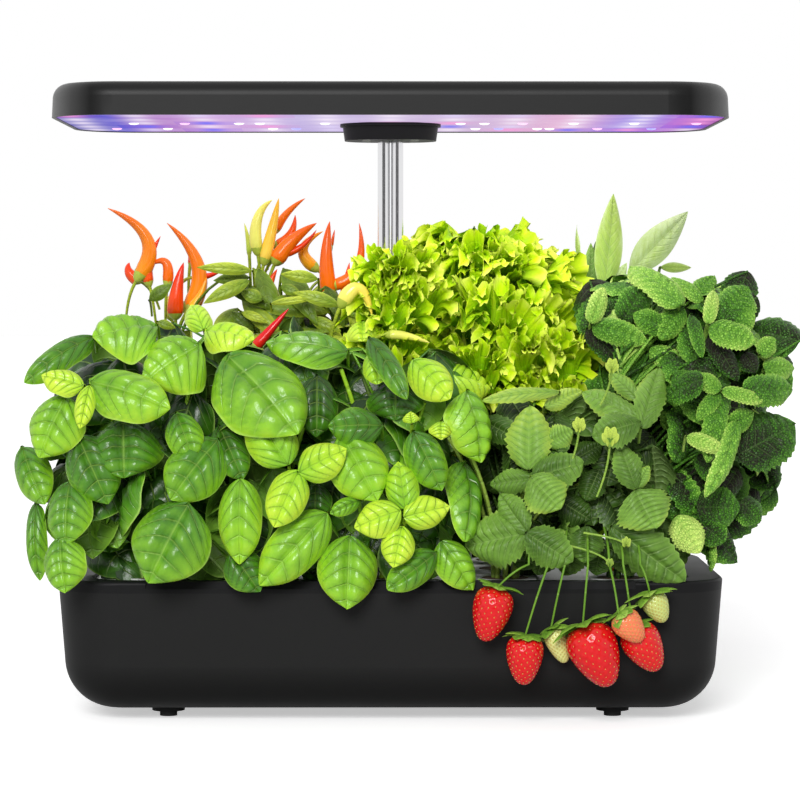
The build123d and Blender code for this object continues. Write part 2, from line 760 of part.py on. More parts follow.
def riser_hose():
    """Soft hose from the pump's nozzle up into the deck's spout."""
    outer = NOZZLE_DIAMETER + 2 * HOSE_WALL
    low = PUMP_TOP + SOFT_GAP
    return tube(outer, NOZZLE_DIAMETER, low, DECK_UNDER - SPOUT_DEPTH / 2, PUMP_X, NOZZLE_Y)


# ---------------------------------------------------------------- pole


def column():
    """Fixed lower stage of the pole: one extrusion with two bores."""
    bar = oval(COLUMN_WIDTH, COLUMN_DEPTH, FLOOR, COLUMN_TOP)
    return bar - twin_bores(FLOOR, COLUMN_TOP, TUBE_RUNNING)


def column_cap():
    """Friction cap on the column's top, which holds the tubes where they are put."""
    low = COLUMN_TOP - CAP_HEIGHT / 2
    high = COLUMN_TOP + CAP_HEIGHT / 2
    cap = oval(COLUMN_WIDTH + 2 * CAP_WALL, COLUMN_DEPTH + 2 * CAP_WALL, low, high)
    cap = chamfer(cap.faces().sort_by(Axis.Z)[-1].edges(), CAP_WALL / 2)
    cap -= oval(COLUMN_WIDTH, COLUMN_DEPTH, low, COLUMN_TOP)
    return cap - twin_bores(COLUMN_TOP, high, TUBE_RUNNING)


def pole_tube(place):
    """One chromed sliding tube of the pole."""
    top = LAMP_BOTTOM - HUB_HEIGHT + TUBE_IN_HUB
    return tube(TUBE_DIAMETER, TUBE_DIAMETER - 2 * TUBE_WALL, TUBE_BOTTOM, top, *place)


# ---------------------------------------------------------------- lamp


def lamp_form(inset, height, top_round):
    """The lamp's drafted outer form, moved inwards by inset."""
    rim = RectangleRounded(LAMP_WIDTH - 2 * inset, LAMP_DEPTH - 2 * inset, LAMP_CORNER - inset)
    form = extrude(Pos(0, 0, LAMP_BOTTOM) * rim, amount=height, taper=LAMP_DRAFT)
    return fillet(form.faces().sort_by(Axis.Z)[-1].edges(), top_round)


def hub_screw_places():
    """Four screws around the tubes."""
    return [(x, POLE_Y + y) for x in (-HUB_SCREW_X, HUB_SCREW_X) for y in (-HUB_SCREW_Y, HUB_SCREW_Y)]


def board_screw_places():
    """Six screws that hold the LED board."""
    return [(x, y) for x in (-BOARD_SCREW_X, 0, BOARD_SCREW_X) for y in (-BOARD_SCREW_Y, BOARD_SCREW_Y)]


def lamp_shell():
    """Shallow moulded tray, open below, with bosses for the hub and the LED board."""
    shell = lamp_form(0, LAMP_HEIGHT, LAMP_TOP_ROUND) - lamp_form(
        LAMP_WALL, LAMP_HEIGHT - LAMP_WALL, LAMP_TOP_ROUND - LAMP_WALL
    )
    hole = SCREW_DIAMETER + 2 * SCREW_HOLE_GAP
    for places, low in ((hub_screw_places(), NECK_TOP), (board_screw_places(), BOARD_TOP)):
        for place in places:
            shell += rod(STANDOFF_DIAMETER, low, LAMP_CEILING + LAMP_WALL / 2, *place)
            shell -= rod(hole, low, low + SCREW_BITE + 1, *place)
    return shell


def neck_cut(z_low, z_high):
    """The opening around the hub's neck in the window and the board."""
    grow = 2 * WINDOW_GAP
    return slab(
        NECK_WIDTH + grow, NECK_DEPTH + grow, NECK_CORNER + grow / 2, z_low, z_high, y=POLE_Y
    )


def inner_plate(z_low, z_high):
    """A plate that fits inside the lamp's shell."""
    inset = LAMP_WALL + WINDOW_GAP + (z_high - LAMP_BOTTOM) * tan(radians(LAMP_DRAFT))
    return slab(
        LAMP_WIDTH - 2 * inset, LAMP_DEPTH - 2 * inset, LAMP_CORNER - inset, z_low, z_high
    )


def light_window():
    """Frosted window over the LEDs, recessed a little in the shell's rim."""
    low = LAMP_BOTTOM + WINDOW_RECESS
    high = low + WINDOW_THICKNESS
    return inner_plate(low, high) - neck_cut(low, high)


def led_board():
    """Aluminium-backed board that carries the LEDs and spreads their heat."""
    board = inner_plate(BOARD_BOTTOM, BOARD_TOP) - neck_cut(BOARD_BOTTOM, BOARD_TOP)
    for x, y in board_screw_places():
        board -= rod(SCREW_DIAMETER + 2 * SCREW_HOLE_GAP, BOARD_BOTTOM, BOARD_TOP, x, y)
    return board


def leds():
    """Rows of LED packages under the board, clear of the neck and the screws."""
    found = []
    clear = SCREW_HEAD / 2 + LED_SIZE
    for i in range(LED_COLUMNS):
        for j in range(LED_ROWS):
            x = (i - (LED_COLUMNS - 1) / 2) * LED_PITCH_X
            y = (j - (LED_ROWS - 1) / 2) * LED_PITCH_Y
            if abs(x) < NECK_WIDTH / 2 + LED_SIZE and abs(y - POLE_Y) < NECK_DEPTH / 2 + LED_SIZE:
                continue
            if any(abs(x - sx) < clear and abs(y - sy) < clear for sx, sy in board_screw_places()):
                continue
            found.append(
                Pos(x, y, BOARD_BOTTOM - LED_HEIGHT / 2) * Box(LED_SIZE, LED_SIZE, LED_HEIGHT)
            )
    return found


def lamp_hub():
    """Block under the lamp that joins it to the tubes, with a flared lip and a neck."""
    low = LAMP_BOTTOM - HUB_HEIGHT
    outline = RectangleRounded(HUB_WIDTH, HUB_DEPTH, HUB_CORNER)
    lip_low = LAMP_BOTTOM - HUB_LIP_HEIGHT
    body = extrude(Pos(0, POLE_Y, lip_low) * outline, amount=-(lip_low - low), taper=HUB_DRAFT)
    lip = slab(
        HUB_WIDTH + 2 * HUB_LIP,
        HUB_DEPTH + 2 * HUB_LIP,
        HUB_CORNER + HUB_LIP,
        lip_low,
        LAMP_BOTTOM,
        y=POLE_Y,
    )
    neck = slab(NECK_WIDTH, NECK_DEPTH, NECK_CORNER, LAMP_BOTTOM, NECK_TOP, y=POLE_Y)
    hub = body + lip + neck
    hub -= twin_bores(low, low + TUBE_IN_HUB, 0.0)
    for place in hub_screw_places():
        hub -= rod(SCREW_DIAMETER + 2 * SCREW_HOLE_GAP, low, NECK_TOP, *place)
        hub -= rod(SCREW_HEAD + 2 * SCREW_HOLE_GAP, low, low + SCREW_HEAD_HEIGHT, *place)
    return hub


def screw(place, head_low, tip):
    """An upright screw, head below."""
    head_high = head_low + SCREW_HEAD_HEIGHT
    body = rod(SCREW_HEAD, head_low, head_high, *place) + rod(SCREW_DIAMETER, head_high, tip, *place)
    return body - rod(SCREW_HEAD / 2, head_low, head_low + SCREW_HEAD_HEIGHT / 2, *place)


def hub_screws():
    """Four screws through the hub into the shell's bosses."""
    return [
        screw(place, LAMP_BOTTOM - HUB_HEIGHT, NECK_TOP + SCREW_BITE)
        for place in hub_screw_places()
    ]


def board_screws():
    """Six screws through the LED board into the shell's bosses."""
    return [
        screw(place, BOARD_BOTTOM - SCREW_HEAD_HEIGHT, BOARD_TOP + SCREW_BITE)
        for place in board_screw_places()
    ]


# ---------------------------------------------------------------- planting
# Each plant's leaves are closed bodies: what a front outline, a side outline and an outline
# from above have in common, cut to a rectangular patch that keeps neighbours clear of each
# other and of the pole. Heights in the outlines are over the rim; widths run from a pod, and
# depths from the rim's front or back edge. The outlines from above round the corners off, and
# their straight sides stand 2 mm outside the other two.

FRONT = -BASE_DEPTH / 2
BACK = BASE_DEPTH / 2
LEAF_LIMIT = 2 * BASE_WIDTH
POLE_FRONT = POLE_Y - POLE_ROOM_FRONT
POLE_BACK = POLE_Y + POLE_ROOM_BACK
CHILLI_Y = POLE_Y + POLE_ROOM_FRONT + LEAF_GAP / 2
BASIL_RIGHT = POD_PITCH - BASIL_INSET
BERRY_LEFT = BASIL_RIGHT + LEAF_GAP
BERRY_RIGHT = POD_X + BERRY_REACH
LETTUCE_RIGHT = 1.5 * POD_PITCH + LETTUCE_SPREAD
MINT_LEFT = LETTUCE_RIGHT + LEAF_GAP


def outline_face(points):
    """A closed outline with softened corners."""
    face = make_face(Polyline(*points, close=True))
    return fillet(face.vertices(), LEAF_ROUND)


def foliage(outlines, pod, edge, x_low, x_high, y_low, y_high):
    """The leaf body that a patch holds of a plant seen from the front, the side and above."""
    front, side, plan = outlines
    front = [(pod + x, RIM_HEIGHT + z) for x, z in front]
    side = [(edge + y, RIM_HEIGHT + z) for y, z in side]
    plan = [(pod + x, edge + y) for x, y in plan]
    across = extrude(Plane.XZ.offset(-LEAF_LIMIT) * outline_face(front), amount=2 * LEAF_LIMIT)
    along = extrude(Plane.YZ.offset(-LEAF_LIMIT) * outline_face(side), amount=2 * LEAF_LIMIT)
    above = extrude(outline_face(plan), amount=LAMP_BOTTOM, both=True)
    return across & along & above & block(x_low, x_high, y_low, y_high, 0, LAMP_BOTTOM)


BASIL_FRONT = [
    (-142, -8), (-168, 42), (-175, 92), (-156, 132), (-116, 154), (-42, 164), (20, 154),
    (78, 144), (114, 120), (126, 74), (126, 10), (98, -8),
]
BASIL_SIDE = [
    (-20, -10), (-24, 54), (-14, 110), (12, 146), (58, 162), (134, 164),
    (134, 42), (64, 42), (BASIL_STEP, 10), (-BASIL_OVERHANG, 10), (-BASIL_OVERHANG, -10),
]
BASIL_PLAN = [
    (-177, 54), (-151, 2), (-104, -26), (70, -26), (112, -8), (129, 24), (129, 136), (-140, 136),
    (-177, 104),
]
BASIL = (BASIL_FRONT, BASIL_SIDE, BASIL_PLAN)
CHILLI_FRONT = [
    (-96, 42), (-120, 104), (-120, CHILLI_HEIGHT), (50, CHILLI_HEIGHT), (50, 42),
]
CHILLI_SIDE = [(-88, 36), (-88, 184), (-4, 184), (30, 134), (30, 82), (-2, 36)]
CHILLI_PLAN = [(-122, -46), (-100, -90), (52, -90), (52, 8), (28, 32), (-92, 32), (-122, 4)]
CHILLI = (CHILLI_FRONT, CHILLI_SIDE, CHILLI_PLAN)
LETTUCE_FRONT = [
    (-86, 42), (-86, 166), (-68, 202), (-26, 216), (18, 214), (42, 186), (46, 154), (46, 42),
]
LETTUCE_SIDE = [
    (-122, 36), (-122, 182), (-78, 216), (-20, 216), (16, 182), (31, 124), (20, 64), (-4, 36),
]
LETTUCE_PLAN = [(-88, -70), (-88, -8), (-60, 33), (22, 33), (48, 4), (48, -124), (-60, -124)]
LETTUCE = (LETTUCE_FRONT, LETTUCE_SIDE, LETTUCE_PLAN)
SAGE_FRONT = [
    (-4, 26), (-18, 114), (-14, 204), (2, 234), (36, 228), (57, 202), (50, 114), (20, 26),
]
SAGE_SIDE = [(-50, 20), (-50, 204), (-24, 236), (4, 226), (28, 154), (2, 20)]
SAGE_PLAN = [(-20, -52), (38, -52), (59, -30), (59, 4), (36, 30), (-4, 30), (-20, 12)]
SAGE = (SAGE_FRONT, SAGE_SIDE, SAGE_PLAN)
MINT_FRONT = [
    (-21, 26), (-21, 176), (12, 190), (66, 182), (98, 154), (107, 102), (103, 50), (72, 10),
    (10, 10),
]
MINT_SIDE = [
    (4, 22), (4, 114), (34, 166), (88, 188), (148, 184), (172, 144), (172, 26), (128, 20),
    (46, 20), (34, 6), (16, 6),
]
MINT_PLAN = [(-23, 2), (54, 2), (88, 24), (109, 66), (109, 114), (84, 174), (-23, 174)]
MINT = (MINT_FRONT, MINT_SIDE, MINT_PLAN)
BERRY_FRONT = [(-94, 10), (-94, 84), (-58, 122), (-16, 130), (22, 114), (32, 64), (32, 10)]
BERRY_SIDE = [(-10, 22), (-10, 90), (16, 126), (58, 132), (100, 114), (100, 26), (68, 6), (2, 6)]
BERRY_PLAN = [(-96, 30), (-64, -12), (20, -12), (34, 4), (34, 104), (-96, 104)]
BERRY_PLANT = (BERRY_FRONT, BERRY_SIDE, BERRY_PLAN)


def basil():
    """Basil: the overhang in front of the rim, the front-left mass, and the part beside the pole."""
    overhang = FRONT - BASIL_OVERHANG
    step = FRONT + BASIL_STEP
    patches = [
        (BASIL_RIGHT, -LEAF_LIMIT, overhang - SOFT_GAP),
        (BASIL_RIGHT, overhang, step - SOFT_GAP),
        (BASIL_RIGHT, step, POLE_FRONT),
        (-POLE_ROOM_SIDE, POLE_FRONT + SOFT_GAP, POLE_Y + POLE_ROOM_FRONT),
    ]
    return [
        foliage(BASIL, -POD_PITCH, FRONT, -LEAF_LIMIT, *patch)
        for patch in patches
    ]


def chilli_leaves():
    """Chilli: the leafy mass at the back left."""
    patch = (-LEAF_LIMIT, -CHILLI_REACH, CHILLI_Y, LEAF_LIMIT)
    return [foliage(CHILLI, -POD_PITCH, BACK, *patch)]


def lettuce():
    """Lettuce: the frilly head behind the pole and the part of it beside the pole."""
    right = LETTUCE_RIGHT - LEAF_GAP
    front = POLE_FRONT + LEAF_GAP + SOFT_GAP
    behind = (-LETTUCE_REACH, LETTUCE_RIGHT, POLE_BACK, LEAF_LIMIT)
    beside = (POLE_ROOM_SIDE + LEAF_GAP, right, front, POLE_BACK - SOFT_GAP)
    return [foliage(LETTUCE, POD_PITCH, BACK, *patch) for patch in (behind, beside)]


def sage():
    """Sage: the tall narrow clump at the back right."""
    patch = (MINT_LEFT, LEAF_LIMIT, POD_ROW, LEAF_LIMIT)
    return [foliage(SAGE, POD_X, BACK, *patch)]


def mint():
    """Mint: the right-hand mass and its front corner."""
    mass = (MINT_LEFT, LEAF_LIMIT, LEAF_GAP - POD_ROW, POD_ROW - SOFT_GAP)
    corner = (BERRY_RIGHT + LEAF_GAP, LEAF_LIMIT, -LEAF_LIMIT, LEAF_GAP - POD_ROW - SOFT_GAP)
    return [foliage(MINT, POD_X, FRONT, *patch) for patch in (mass, corner)]


def strawberry_leaves():
    """Strawberry: the front-right mass and its inner part."""
    mass = (BERRY_LEFT, BERRY_RIGHT, -LEAF_LIMIT, -POD_ROW)
    inner = (BERRY_LEFT, LETTUCE_RIGHT - LEAF_GAP, SOFT_GAP - POD_ROW, POLE_FRONT + LEAF_GAP)
    return [foliage(BERRY_PLANT, POD_X, FRONT, *patch) for patch in (mass, inner)]


def plant_stems(leaf_bodies):
    """A stem from every sponge up to the leaf body over it."""
    stems = []
    for x, y in pod_places():
        ray = rod(STEM_DIAMETER, SPONGE_TOP, LAMP_BOTTOM, x, y)
        low = min(
            (ray & body).bounding_box().min.Z
            for body in leaf_bodies
            if (ray & body) and (ray & body).volume > 1
        )
        stems.append(rod(STEM_DIAMETER, SPONGE_TOP, low - SOFT_GAP, x, y))
    return stems


# Each pepper: x and y of its foot, its lean to the right in degrees, and its length.
PEPPERS = [
    (-POD_X - 28, 52, -18, 56), (-POD_X - 16, 74, 4, 34), (-POD_X + 2, 48, -3, 50),
    (-POD_X + 18, 64, 20, 30), (-POD_PITCH - 22, 60, -8, 62), (-POD_PITCH - 8, 80, 3, 58),
    (-POD_PITCH + 4, 52, 16, 60), (-POD_PITCH + 24, 66, -10, 48), (-34, 88, 6, 40),
    (-30, 48, 14, 46),
]


def chilli_peppers():
    """Slim upright peppers that stand on the chilli's leafy mass."""
    foot = RIM_HEIGHT + CHILLI_HEIGHT
    above = block(-LEAF_LIMIT, 0, 0, LEAF_LIMIT, foot + SOFT_GAP, LAMP_BOTTOM)
    found = []
    for x, y, lean, length in PEPPERS:
        pod = Pos(0, 0, length / 2) * Cone(PEPPER_DIAMETER / 2, PEPPER_TIP / 2, length)
        found.append(Pos(x, y, foot) * Rot(0, lean, 0) * pod & above)
    return found


# Each berry: its middle (x, y from the rim's front, z from the rim), its width and its
# length, and where its stalk starts in x.
BERRIES = [
    (POD_PITCH - 11.3, -14.0, -17.8, 24.0, 33.0, POD_PITCH + 18),
    (POD_PITCH + 9.3, -13.5, -44.4, 23.0, 29.0, POD_PITCH + 28),
    (POD_PITCH + 28.8, -11.0, -36.7, 14.0, 21.0, POD_PITCH + 36),
    (POD_X - 18.0, -17.0, -41.4, 31.0, 40.0, POD_X - 22),
    (POD_X + 1.5, -27.0, -24.5, 18.0, 21.0, POD_X - 12),
    (POD_X + 10.5, -14.0, -38.3, 24.0, 33.0, POD_X - 4),
    (POD_X + 18.5, -14.0, -14.0, 15.0, 19.0, POD_X + 6),
]


def berry(width, length):
    """One fruit at the origin: broad shoulders and a blunt tip."""
    radius = width / 2
    half = length / 2
    edge = Spline(
        (0, half), (0.72 * radius, 0.82 * half), (radius, 0.3 * half), (0.6 * radius, -0.62 * half),
        (0, -half), tangents=((1, 0), (-1, -0.4)),
    )
    profile = make_face(Curve() + [edge, Line((0, -half), (0, half))])
    return revolve(Plane.XZ * profile, Axis.Z)


def strawberries():
    """Hanging fruits in front of the tank's wall."""
    return [
        Pos(x, FRONT + y, RIM_HEIGHT + z) * berry(width, length)
        for x, y, z, width, length, _ in BERRIES
    ]


def strut(start, end, diameter):
    """A straight round bar between two points."""
    line = Vector(*end) - Vector(*start)
    plane = Plane(origin=start, z_dir=line)
    return extrude(plane * Circle(diameter / 2), amount=line.length)


def berry_stalks():
    """A stalk for each fruit, out from the leaves and down in front of the rim."""
    stalks = []
    for x, y, z, _, length, foot_x in BERRIES:
        top = (x, FRONT + y, RIM_HEIGHT + z + length / 2 + SOFT_GAP)
        knee_x = x + STALK_BEND * (foot_x - x)
        knee = (knee_x, FRONT + y - STALK_DIAMETER, RIM_HEIGHT + STALK_KNEE)
        leaves_front = FRONT + BERRY_SIDE[0][0]
        foot_y = leaves_front - SOFT_GAP - STALK_DIAMETER / 2
        foot = (foot_x, foot_y, RIM_HEIGHT + STALK_FOOT)
        bend = Pos(*knee) * Sphere(STALK_DIAMETER / 2)
        stalks.append(
            strut(foot, knee, STALK_DIAMETER) + bend + strut(knee, top, STALK_DIAMETER)
        )
    return stalks


# ---------------------------------------------------------------- writing the sub-parts


def parts():
    """Every sub-part by name; a list is a group of separate solids."""
    leaves = {
        "basil_leaves": basil(),
        "chilli_leaves": chilli_leaves(),
        "lettuce_leaves": lettuce(),
        "sage_leaves": sage(),
        "mint_leaves": mint(),
        "strawberry_leaves": strawberry_leaves(),
    }
    left, right = tube_places()
    return {
        "tank": tank(),
        "top_frame": top_frame(),
        "indicator_lenses": indicator_lenses(),
        "foot_discs": foot_discs(),
        "foot_pads": foot_pads(),
        "light_button": button(-1),
        "pump_button": button(1),
        "control_housing": control_housing(),
        "control_board": control_board(),
        "button_switches": button_switches(),
        "power_socket": power_socket(),
        "socket_boot": socket_boot(),
        "deck": deck(),
        "fill_lid": fill_lid(),
        "lid_pin": lid_pin(),
        "float_guide": float_guide(),
        "level_float": level_float(),
        "column_collar": column_collar(),
        "net_baskets": at_pods(basket()),
        "grow_sponges": at_pods(sponge()),
        "pump_housing": pump_housing(),
        "pump_cover": pump_cover(),
        "pump_impeller": pump_impeller(),
        "pump_suckers": pump_suckers(),
        "riser_hose": riser_hose(),
        "column": column(),
        "column_cap": column_cap(),
        "left_tube": pole_tube(left),
        "right_tube": pole_tube(right),
        "lamp_shell": lamp_shell(),
        "light_window": light_window(),
        "led_board": led_board(),
        "leds": leds(),
        "lamp_hub": lamp_hub(),
        "hub_screws": hub_screws(),
        "board_screws": board_screws(),
        "plant_stems": plant_stems([body for group in leaves.values() for body in group]),
        "chilli_peppers": chilli_peppers(),
        "strawberries": strawberries(),
        "berry_stalks": berry_stalks(),
        **leaves,
    }


os.makedirs("parts", exist_ok=True)
for name, made in parts().items():
    pieces = made if isinstance(made, list) else [made]
    solids = [solid for piece in pieces for solid in piece.solids()]
    export_step(Compound(children=solids) if len(solids) > 1 else solids[0], f"parts/{name}.step")
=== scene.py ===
import bpy
import numpy as np
from math import cos, pi, radians, sin
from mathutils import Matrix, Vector
from mathutils.bvhtree import BVHTree


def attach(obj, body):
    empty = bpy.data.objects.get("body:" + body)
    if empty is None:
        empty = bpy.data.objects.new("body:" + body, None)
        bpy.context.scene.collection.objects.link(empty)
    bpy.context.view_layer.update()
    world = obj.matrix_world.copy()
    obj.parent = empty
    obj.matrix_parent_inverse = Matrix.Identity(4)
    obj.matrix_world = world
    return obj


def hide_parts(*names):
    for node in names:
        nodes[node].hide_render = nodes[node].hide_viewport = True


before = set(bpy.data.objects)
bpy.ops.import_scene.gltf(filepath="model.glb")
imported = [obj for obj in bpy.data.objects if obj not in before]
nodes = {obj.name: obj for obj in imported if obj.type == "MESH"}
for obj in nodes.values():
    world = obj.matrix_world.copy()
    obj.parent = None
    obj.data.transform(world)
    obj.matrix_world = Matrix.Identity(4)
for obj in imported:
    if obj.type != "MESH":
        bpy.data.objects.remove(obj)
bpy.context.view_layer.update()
chance = np.random.default_rng(11)

# ---------------------------------------------------------------- Tank and top frame
# The tank is one moulded basin of satin black ABS with a fine grain; the top frame is a
# bezel of the same plastic that sits in the tank's rim.


def new_material(name, colour, roughness, metallic=0.0):
    """A material with its node tree's parts, ready for links."""
    material = bpy.data.materials.new(name)
    material.use_nodes = True
    shader = material.node_tree.nodes["Principled BSDF"]
    shader.inputs["Base Color"].default_value = (*colour, 1)
    shader.inputs["Roughness"].default_value = roughness
    shader.inputs["Metallic"].default_value = metallic
    return material, material.node_tree, shader


def add_node(tree, kind, **values):
    """A node of a kind, with the named settings."""
    made = tree.nodes.new("ShaderNode" + kind)
    for key, value in values.items():
        setattr(made, key, value)
    return made


def calc(tree, operation, first, second=None, clamp=False):
    """A math node on two inputs, each a number or another node's output."""
    made = add_node(tree, "Math", operation=operation, use_clamp=clamp)
    for place, value in enumerate((first, second)):
        if isinstance(value, (int, float)):
            made.inputs[place].default_value = value
        elif value is not None:
            tree.links.new(value, made.inputs[place])
    return made.outputs[0]


def object_place(tree):
    """A point's place in the object's own coordinates."""
    return add_node(tree, "TexCoord").outputs["Object"]


def parts_of(tree, place):
    """The X, Y and Z of a place."""
    made = add_node(tree, "SeparateXYZ")
    tree.links.new(place, made.inputs[0])
    return made.outputs


def noise(tree, scale):
    """A noise texture in the object's own coordinates."""
    made = add_node(tree, "TexNoise")
    made.inputs["Scale"].default_value = scale
    made.inputs["Detail"].default_value = 3.0
    tree.links.new(object_place(tree), made.inputs["Vector"])
    return made.outputs["Fac"]


def spread(tree, value, low, high):
    """Takes a 0 to 1 value to a range."""
    made = add_node(tree, "MapRange")
    made.inputs["To Min"].default_value = low
    made.inputs["To Max"].default_value = high
    tree.links.new(value, made.inputs["Value"])
    return made.outputs["Result"]


def mottle(tree, value, scale, amount):
    """A value made uneven by noise, up and down by an amount."""
    return calc(tree, "ADD", value, spread(tree, noise(tree, scale), -amount, amount))


def ramp(tree, fac, stops, interpolation="LINEAR"):
    """A colour ramp through stops, each a position and a colour."""
    made = add_node(tree, "ValToRGB")
    made.color_ramp.interpolation = interpolation
    elements = made.color_ramp.elements
    for element, (position, colour) in zip(elements, (stops[0], stops[-1])):
        element.position = position
        element.color = (*colour, 1)
    for position, colour in stops[1:-1]:
        elements.new(position).color = (*colour, 1)
    tree.links.new(fac, made.inputs["Fac"])
    return made.outputs["Color"]


def bump(tree, shader, height, strength, distance):
    """Joins a height to the shader's normal."""
    made = add_node(tree, "Bump")
    made.inputs["Strength"].default_value = strength
    made.inputs["Distance"].default_value = distance
    tree.links.new(height, made.inputs["Height"])
    tree.links.new(made.outputs["Normal"], shader.inputs["Normal"])


def moulded(name, colour, low, high, grain=1800.0, depth=0.00004, metallic=0.0, gloss=0.5):
    """Plastic or metal with a fine grain and a slight unevenness in its shine."""
    material, tree, shader = new_material(name, colour, (low + high) / 2, metallic)
    shader.inputs["Specular IOR Level"].default_value = gloss
    tree.links.new(spread(tree, noise(tree, 24.0), low, high), shader.inputs["Roughness"])
    bump(tree, shader, noise(tree, grain), 0.4, depth)
    return material


def painted_light_along(material, place, reach, greys):
    """Paints light and shade into a material's grey, changing with a place: stops, each a share of reach
    and a grey.
    """
    tree = material.node_tree
    stops = [(position, (grey,) * 3) for position, grey in greys]
    colour = ramp(tree, calc(tree, "DIVIDE", place, reach), stops)
    tree.links.new(colour, tree.nodes["Principled BSDF"].inputs["Base Color"])


def paint(material, *names):
    """Gives CAD nodes a material."""
    for name in names:
        nodes[name].data.materials.clear()
        nodes[name].data.materials.append(material)


RIM_HEIGHT = 0.0865
# The tank is painted darker toward its foot, as painted shade: shares of the rim's height, and greys.
TANK_PAINTED_SHADE = ((0.08, 0.0016), (0.22, 0.006), (0.42, 0.012), (1.0, 0.0125))
PLASTIC_BLACK = (0.012, 0.012, 0.0125)

black = moulded("satin_black", PLASTIC_BLACK, 0.40, 0.50, gloss=0.12)
tank_black = moulded("tank_black", PLASTIC_BLACK, 0.40, 0.50, gloss=0.12)
tank_place = parts_of(tank_black.node_tree, object_place(tank_black.node_tree))
# Painted shade: the tank's grey darkens toward its foot.
painted_light_along(tank_black, tank_place["Z"], RIM_HEIGHT, TANK_PAINTED_SHADE)
frame_black = moulded("frame_black", (0.009, 0.009, 0.0095), 0.42, 0.50, gloss=0.10)
paint(tank_black, "tank")
paint(black, "foot_discs")
paint(frame_black, "top_frame")
paint(moulded("foot_rubber", (0.02, 0.02, 0.02), 0.75, 0.9, 600.0, 0.0001), "foot_pads")

# ---------------------------------------------------------------- Buttons and controls
# Two dark grey push buttons and two clear lenses in the frame's front bar, with the tray,
# the circuit board and the switches that they work under them.

paint(moulded("button_grey", (0.05, 0.05, 0.055), 0.30, 0.36), "light_button", "pump_button")
paint(moulded("clear_lens", (0.45, 0.75, 0.60), 0.06, 0.12), "indicator_lenses")
paint(moulded("tray_grey", (0.22, 0.23, 0.24), 0.45, 0.6), "control_housing")
paint(moulded("board_green", (0.02, 0.16, 0.06), 0.30, 0.42), "control_board")
paint(moulded("switch_steel", (0.55, 0.55, 0.56), 0.28, 0.38, metallic=1.0), "button_switches")

# ---------------------------------------------------------------- Power inlet and pump
# A barrel jack in the back wall with its rubber boot; a dark pump on rubber suckers, with a
# pale impeller and a clear soft hose up to the deck.

paint(moulded("jack_nylon", (0.03, 0.03, 0.03), 0.35, 0.45), "power_socket")
paint(moulded("boot_rubber", (0.025, 0.025, 0.025), 0.7, 0.85), "socket_boot", "pump_suckers")
paint(moulded("pump_plastic", (0.035, 0.04, 0.05), 0.38, 0.5), "pump_housing", "pump_cover")
paint(moulded("impeller_nylon", (0.62, 0.62, 0.60), 0.4, 0.5), "pump_impeller")
paint(moulded("hose_silicone", (0.55, 0.58, 0.58), 0.25, 0.35), "riser_hose")

# ---------------------------------------------------------------- Growing deck
# White ABS plate with its collar, filling lid and float guide; white baskets with brown
# peat sponges; a steel hinge pin and an orange float.

paint(
    moulded("deck_white", (0.80, 0.81, 0.82), 0.30, 0.40),
    "deck", "column_collar", "fill_lid", "float_guide",
)
paint(moulded("basket_white", (0.72, 0.73, 0.72), 0.38, 0.48), "net_baskets")
paint(moulded("hinge_steel", (0.6, 0.6, 0.61), 0.2, 0.3, metallic=1.0), "lid_pin")
paint(moulded("float_orange", (0.85, 0.22, 0.03), 0.35, 0.45), "level_float")
paint(moulded("peat_sponge", (0.16, 0.10, 0.055), 0.85, 0.95, 700.0, 0.0006), "grow_sponges")

# ---------------------------------------------------------------- Pole
# A grey anodised column with a black friction cap, and two chromed steel tubes side by side.

paint(moulded("column_anodised", (0.60, 0.61, 0.63), 0.30, 0.40, metallic=1.0), "column")
paint(black, "column_cap")
paint(
    moulded("tube_chrome", (0.78, 0.78, 0.79), 0.05, 0.09, 900.0, 0.000004, metallic=1.0),
    "left_tube", "right_tube",
)

# ---------------------------------------------------------------- Lamp
# A shallow black shell with a frosted window under it. White, pink and blue LEDs glow
# through the window in rows; a few bright ones stand under it as small clear domes.

LAMP_HALF_WIDTH = 0.205
# The shell's round ends get a painted highlight, with a band of painted shade just inside it: shares of
# half its width, and greys.
LAMP_PAINTED_LIGHT = ((0.80, 0.0095), (0.87, 0.004), (0.93, 0.045), (1.0, 0.14))

lamp_black = moulded("lamp_black", (0.010, 0.010, 0.0103), 0.36, 0.44, gloss=0.15)
tree = lamp_black.node_tree
off_middle = calc(tree, "ABSOLUTE", parts_of(tree, object_place(tree))["X"])
# Painted highlight on the shell's round ends, and a band of painted shade next to it.
painted_light_along(lamp_black, off_middle, LAMP_HALF_WIDTH, LAMP_PAINTED_LIGHT)
paint(lamp_black, "lamp_shell")
paint(black, "lamp_hub")
paint(
    moulded("screw_zinc", (0.55, 0.55, 0.56), 0.3, 0.4, metallic=1.0), "hub_screws", "board_screws",
)
paint(moulded("board_white", (0.80, 0.80, 0.82), 0.4, 0.5), "led_board")
paint(moulded("led_package", (0.80, 0.72, 0.35), 0.2, 0.3), "leds")

WINDOW_WIDTH = 0.4
# The LEDs' spacing along the lamp and across it.
LED_PITCH = {"X": 0.0386, "Y": 0.040}
# An LED's spot of light on the window: its radius, how much less it fades in y, its strength.
SPOT_RADIUS, SPOT_STRETCH, SPOT_STRENGTH = 0.0085, 0.2, 0.72
LED_COLOURS = (
    (0.0, (0.95, 0.85, 1.0)), (0.45, (1.0, 0.35, 0.75)), (0.62, (0.12, 0.14, 1.0)),
    (0.80, (0.80, 0.70, 1.0)),
)
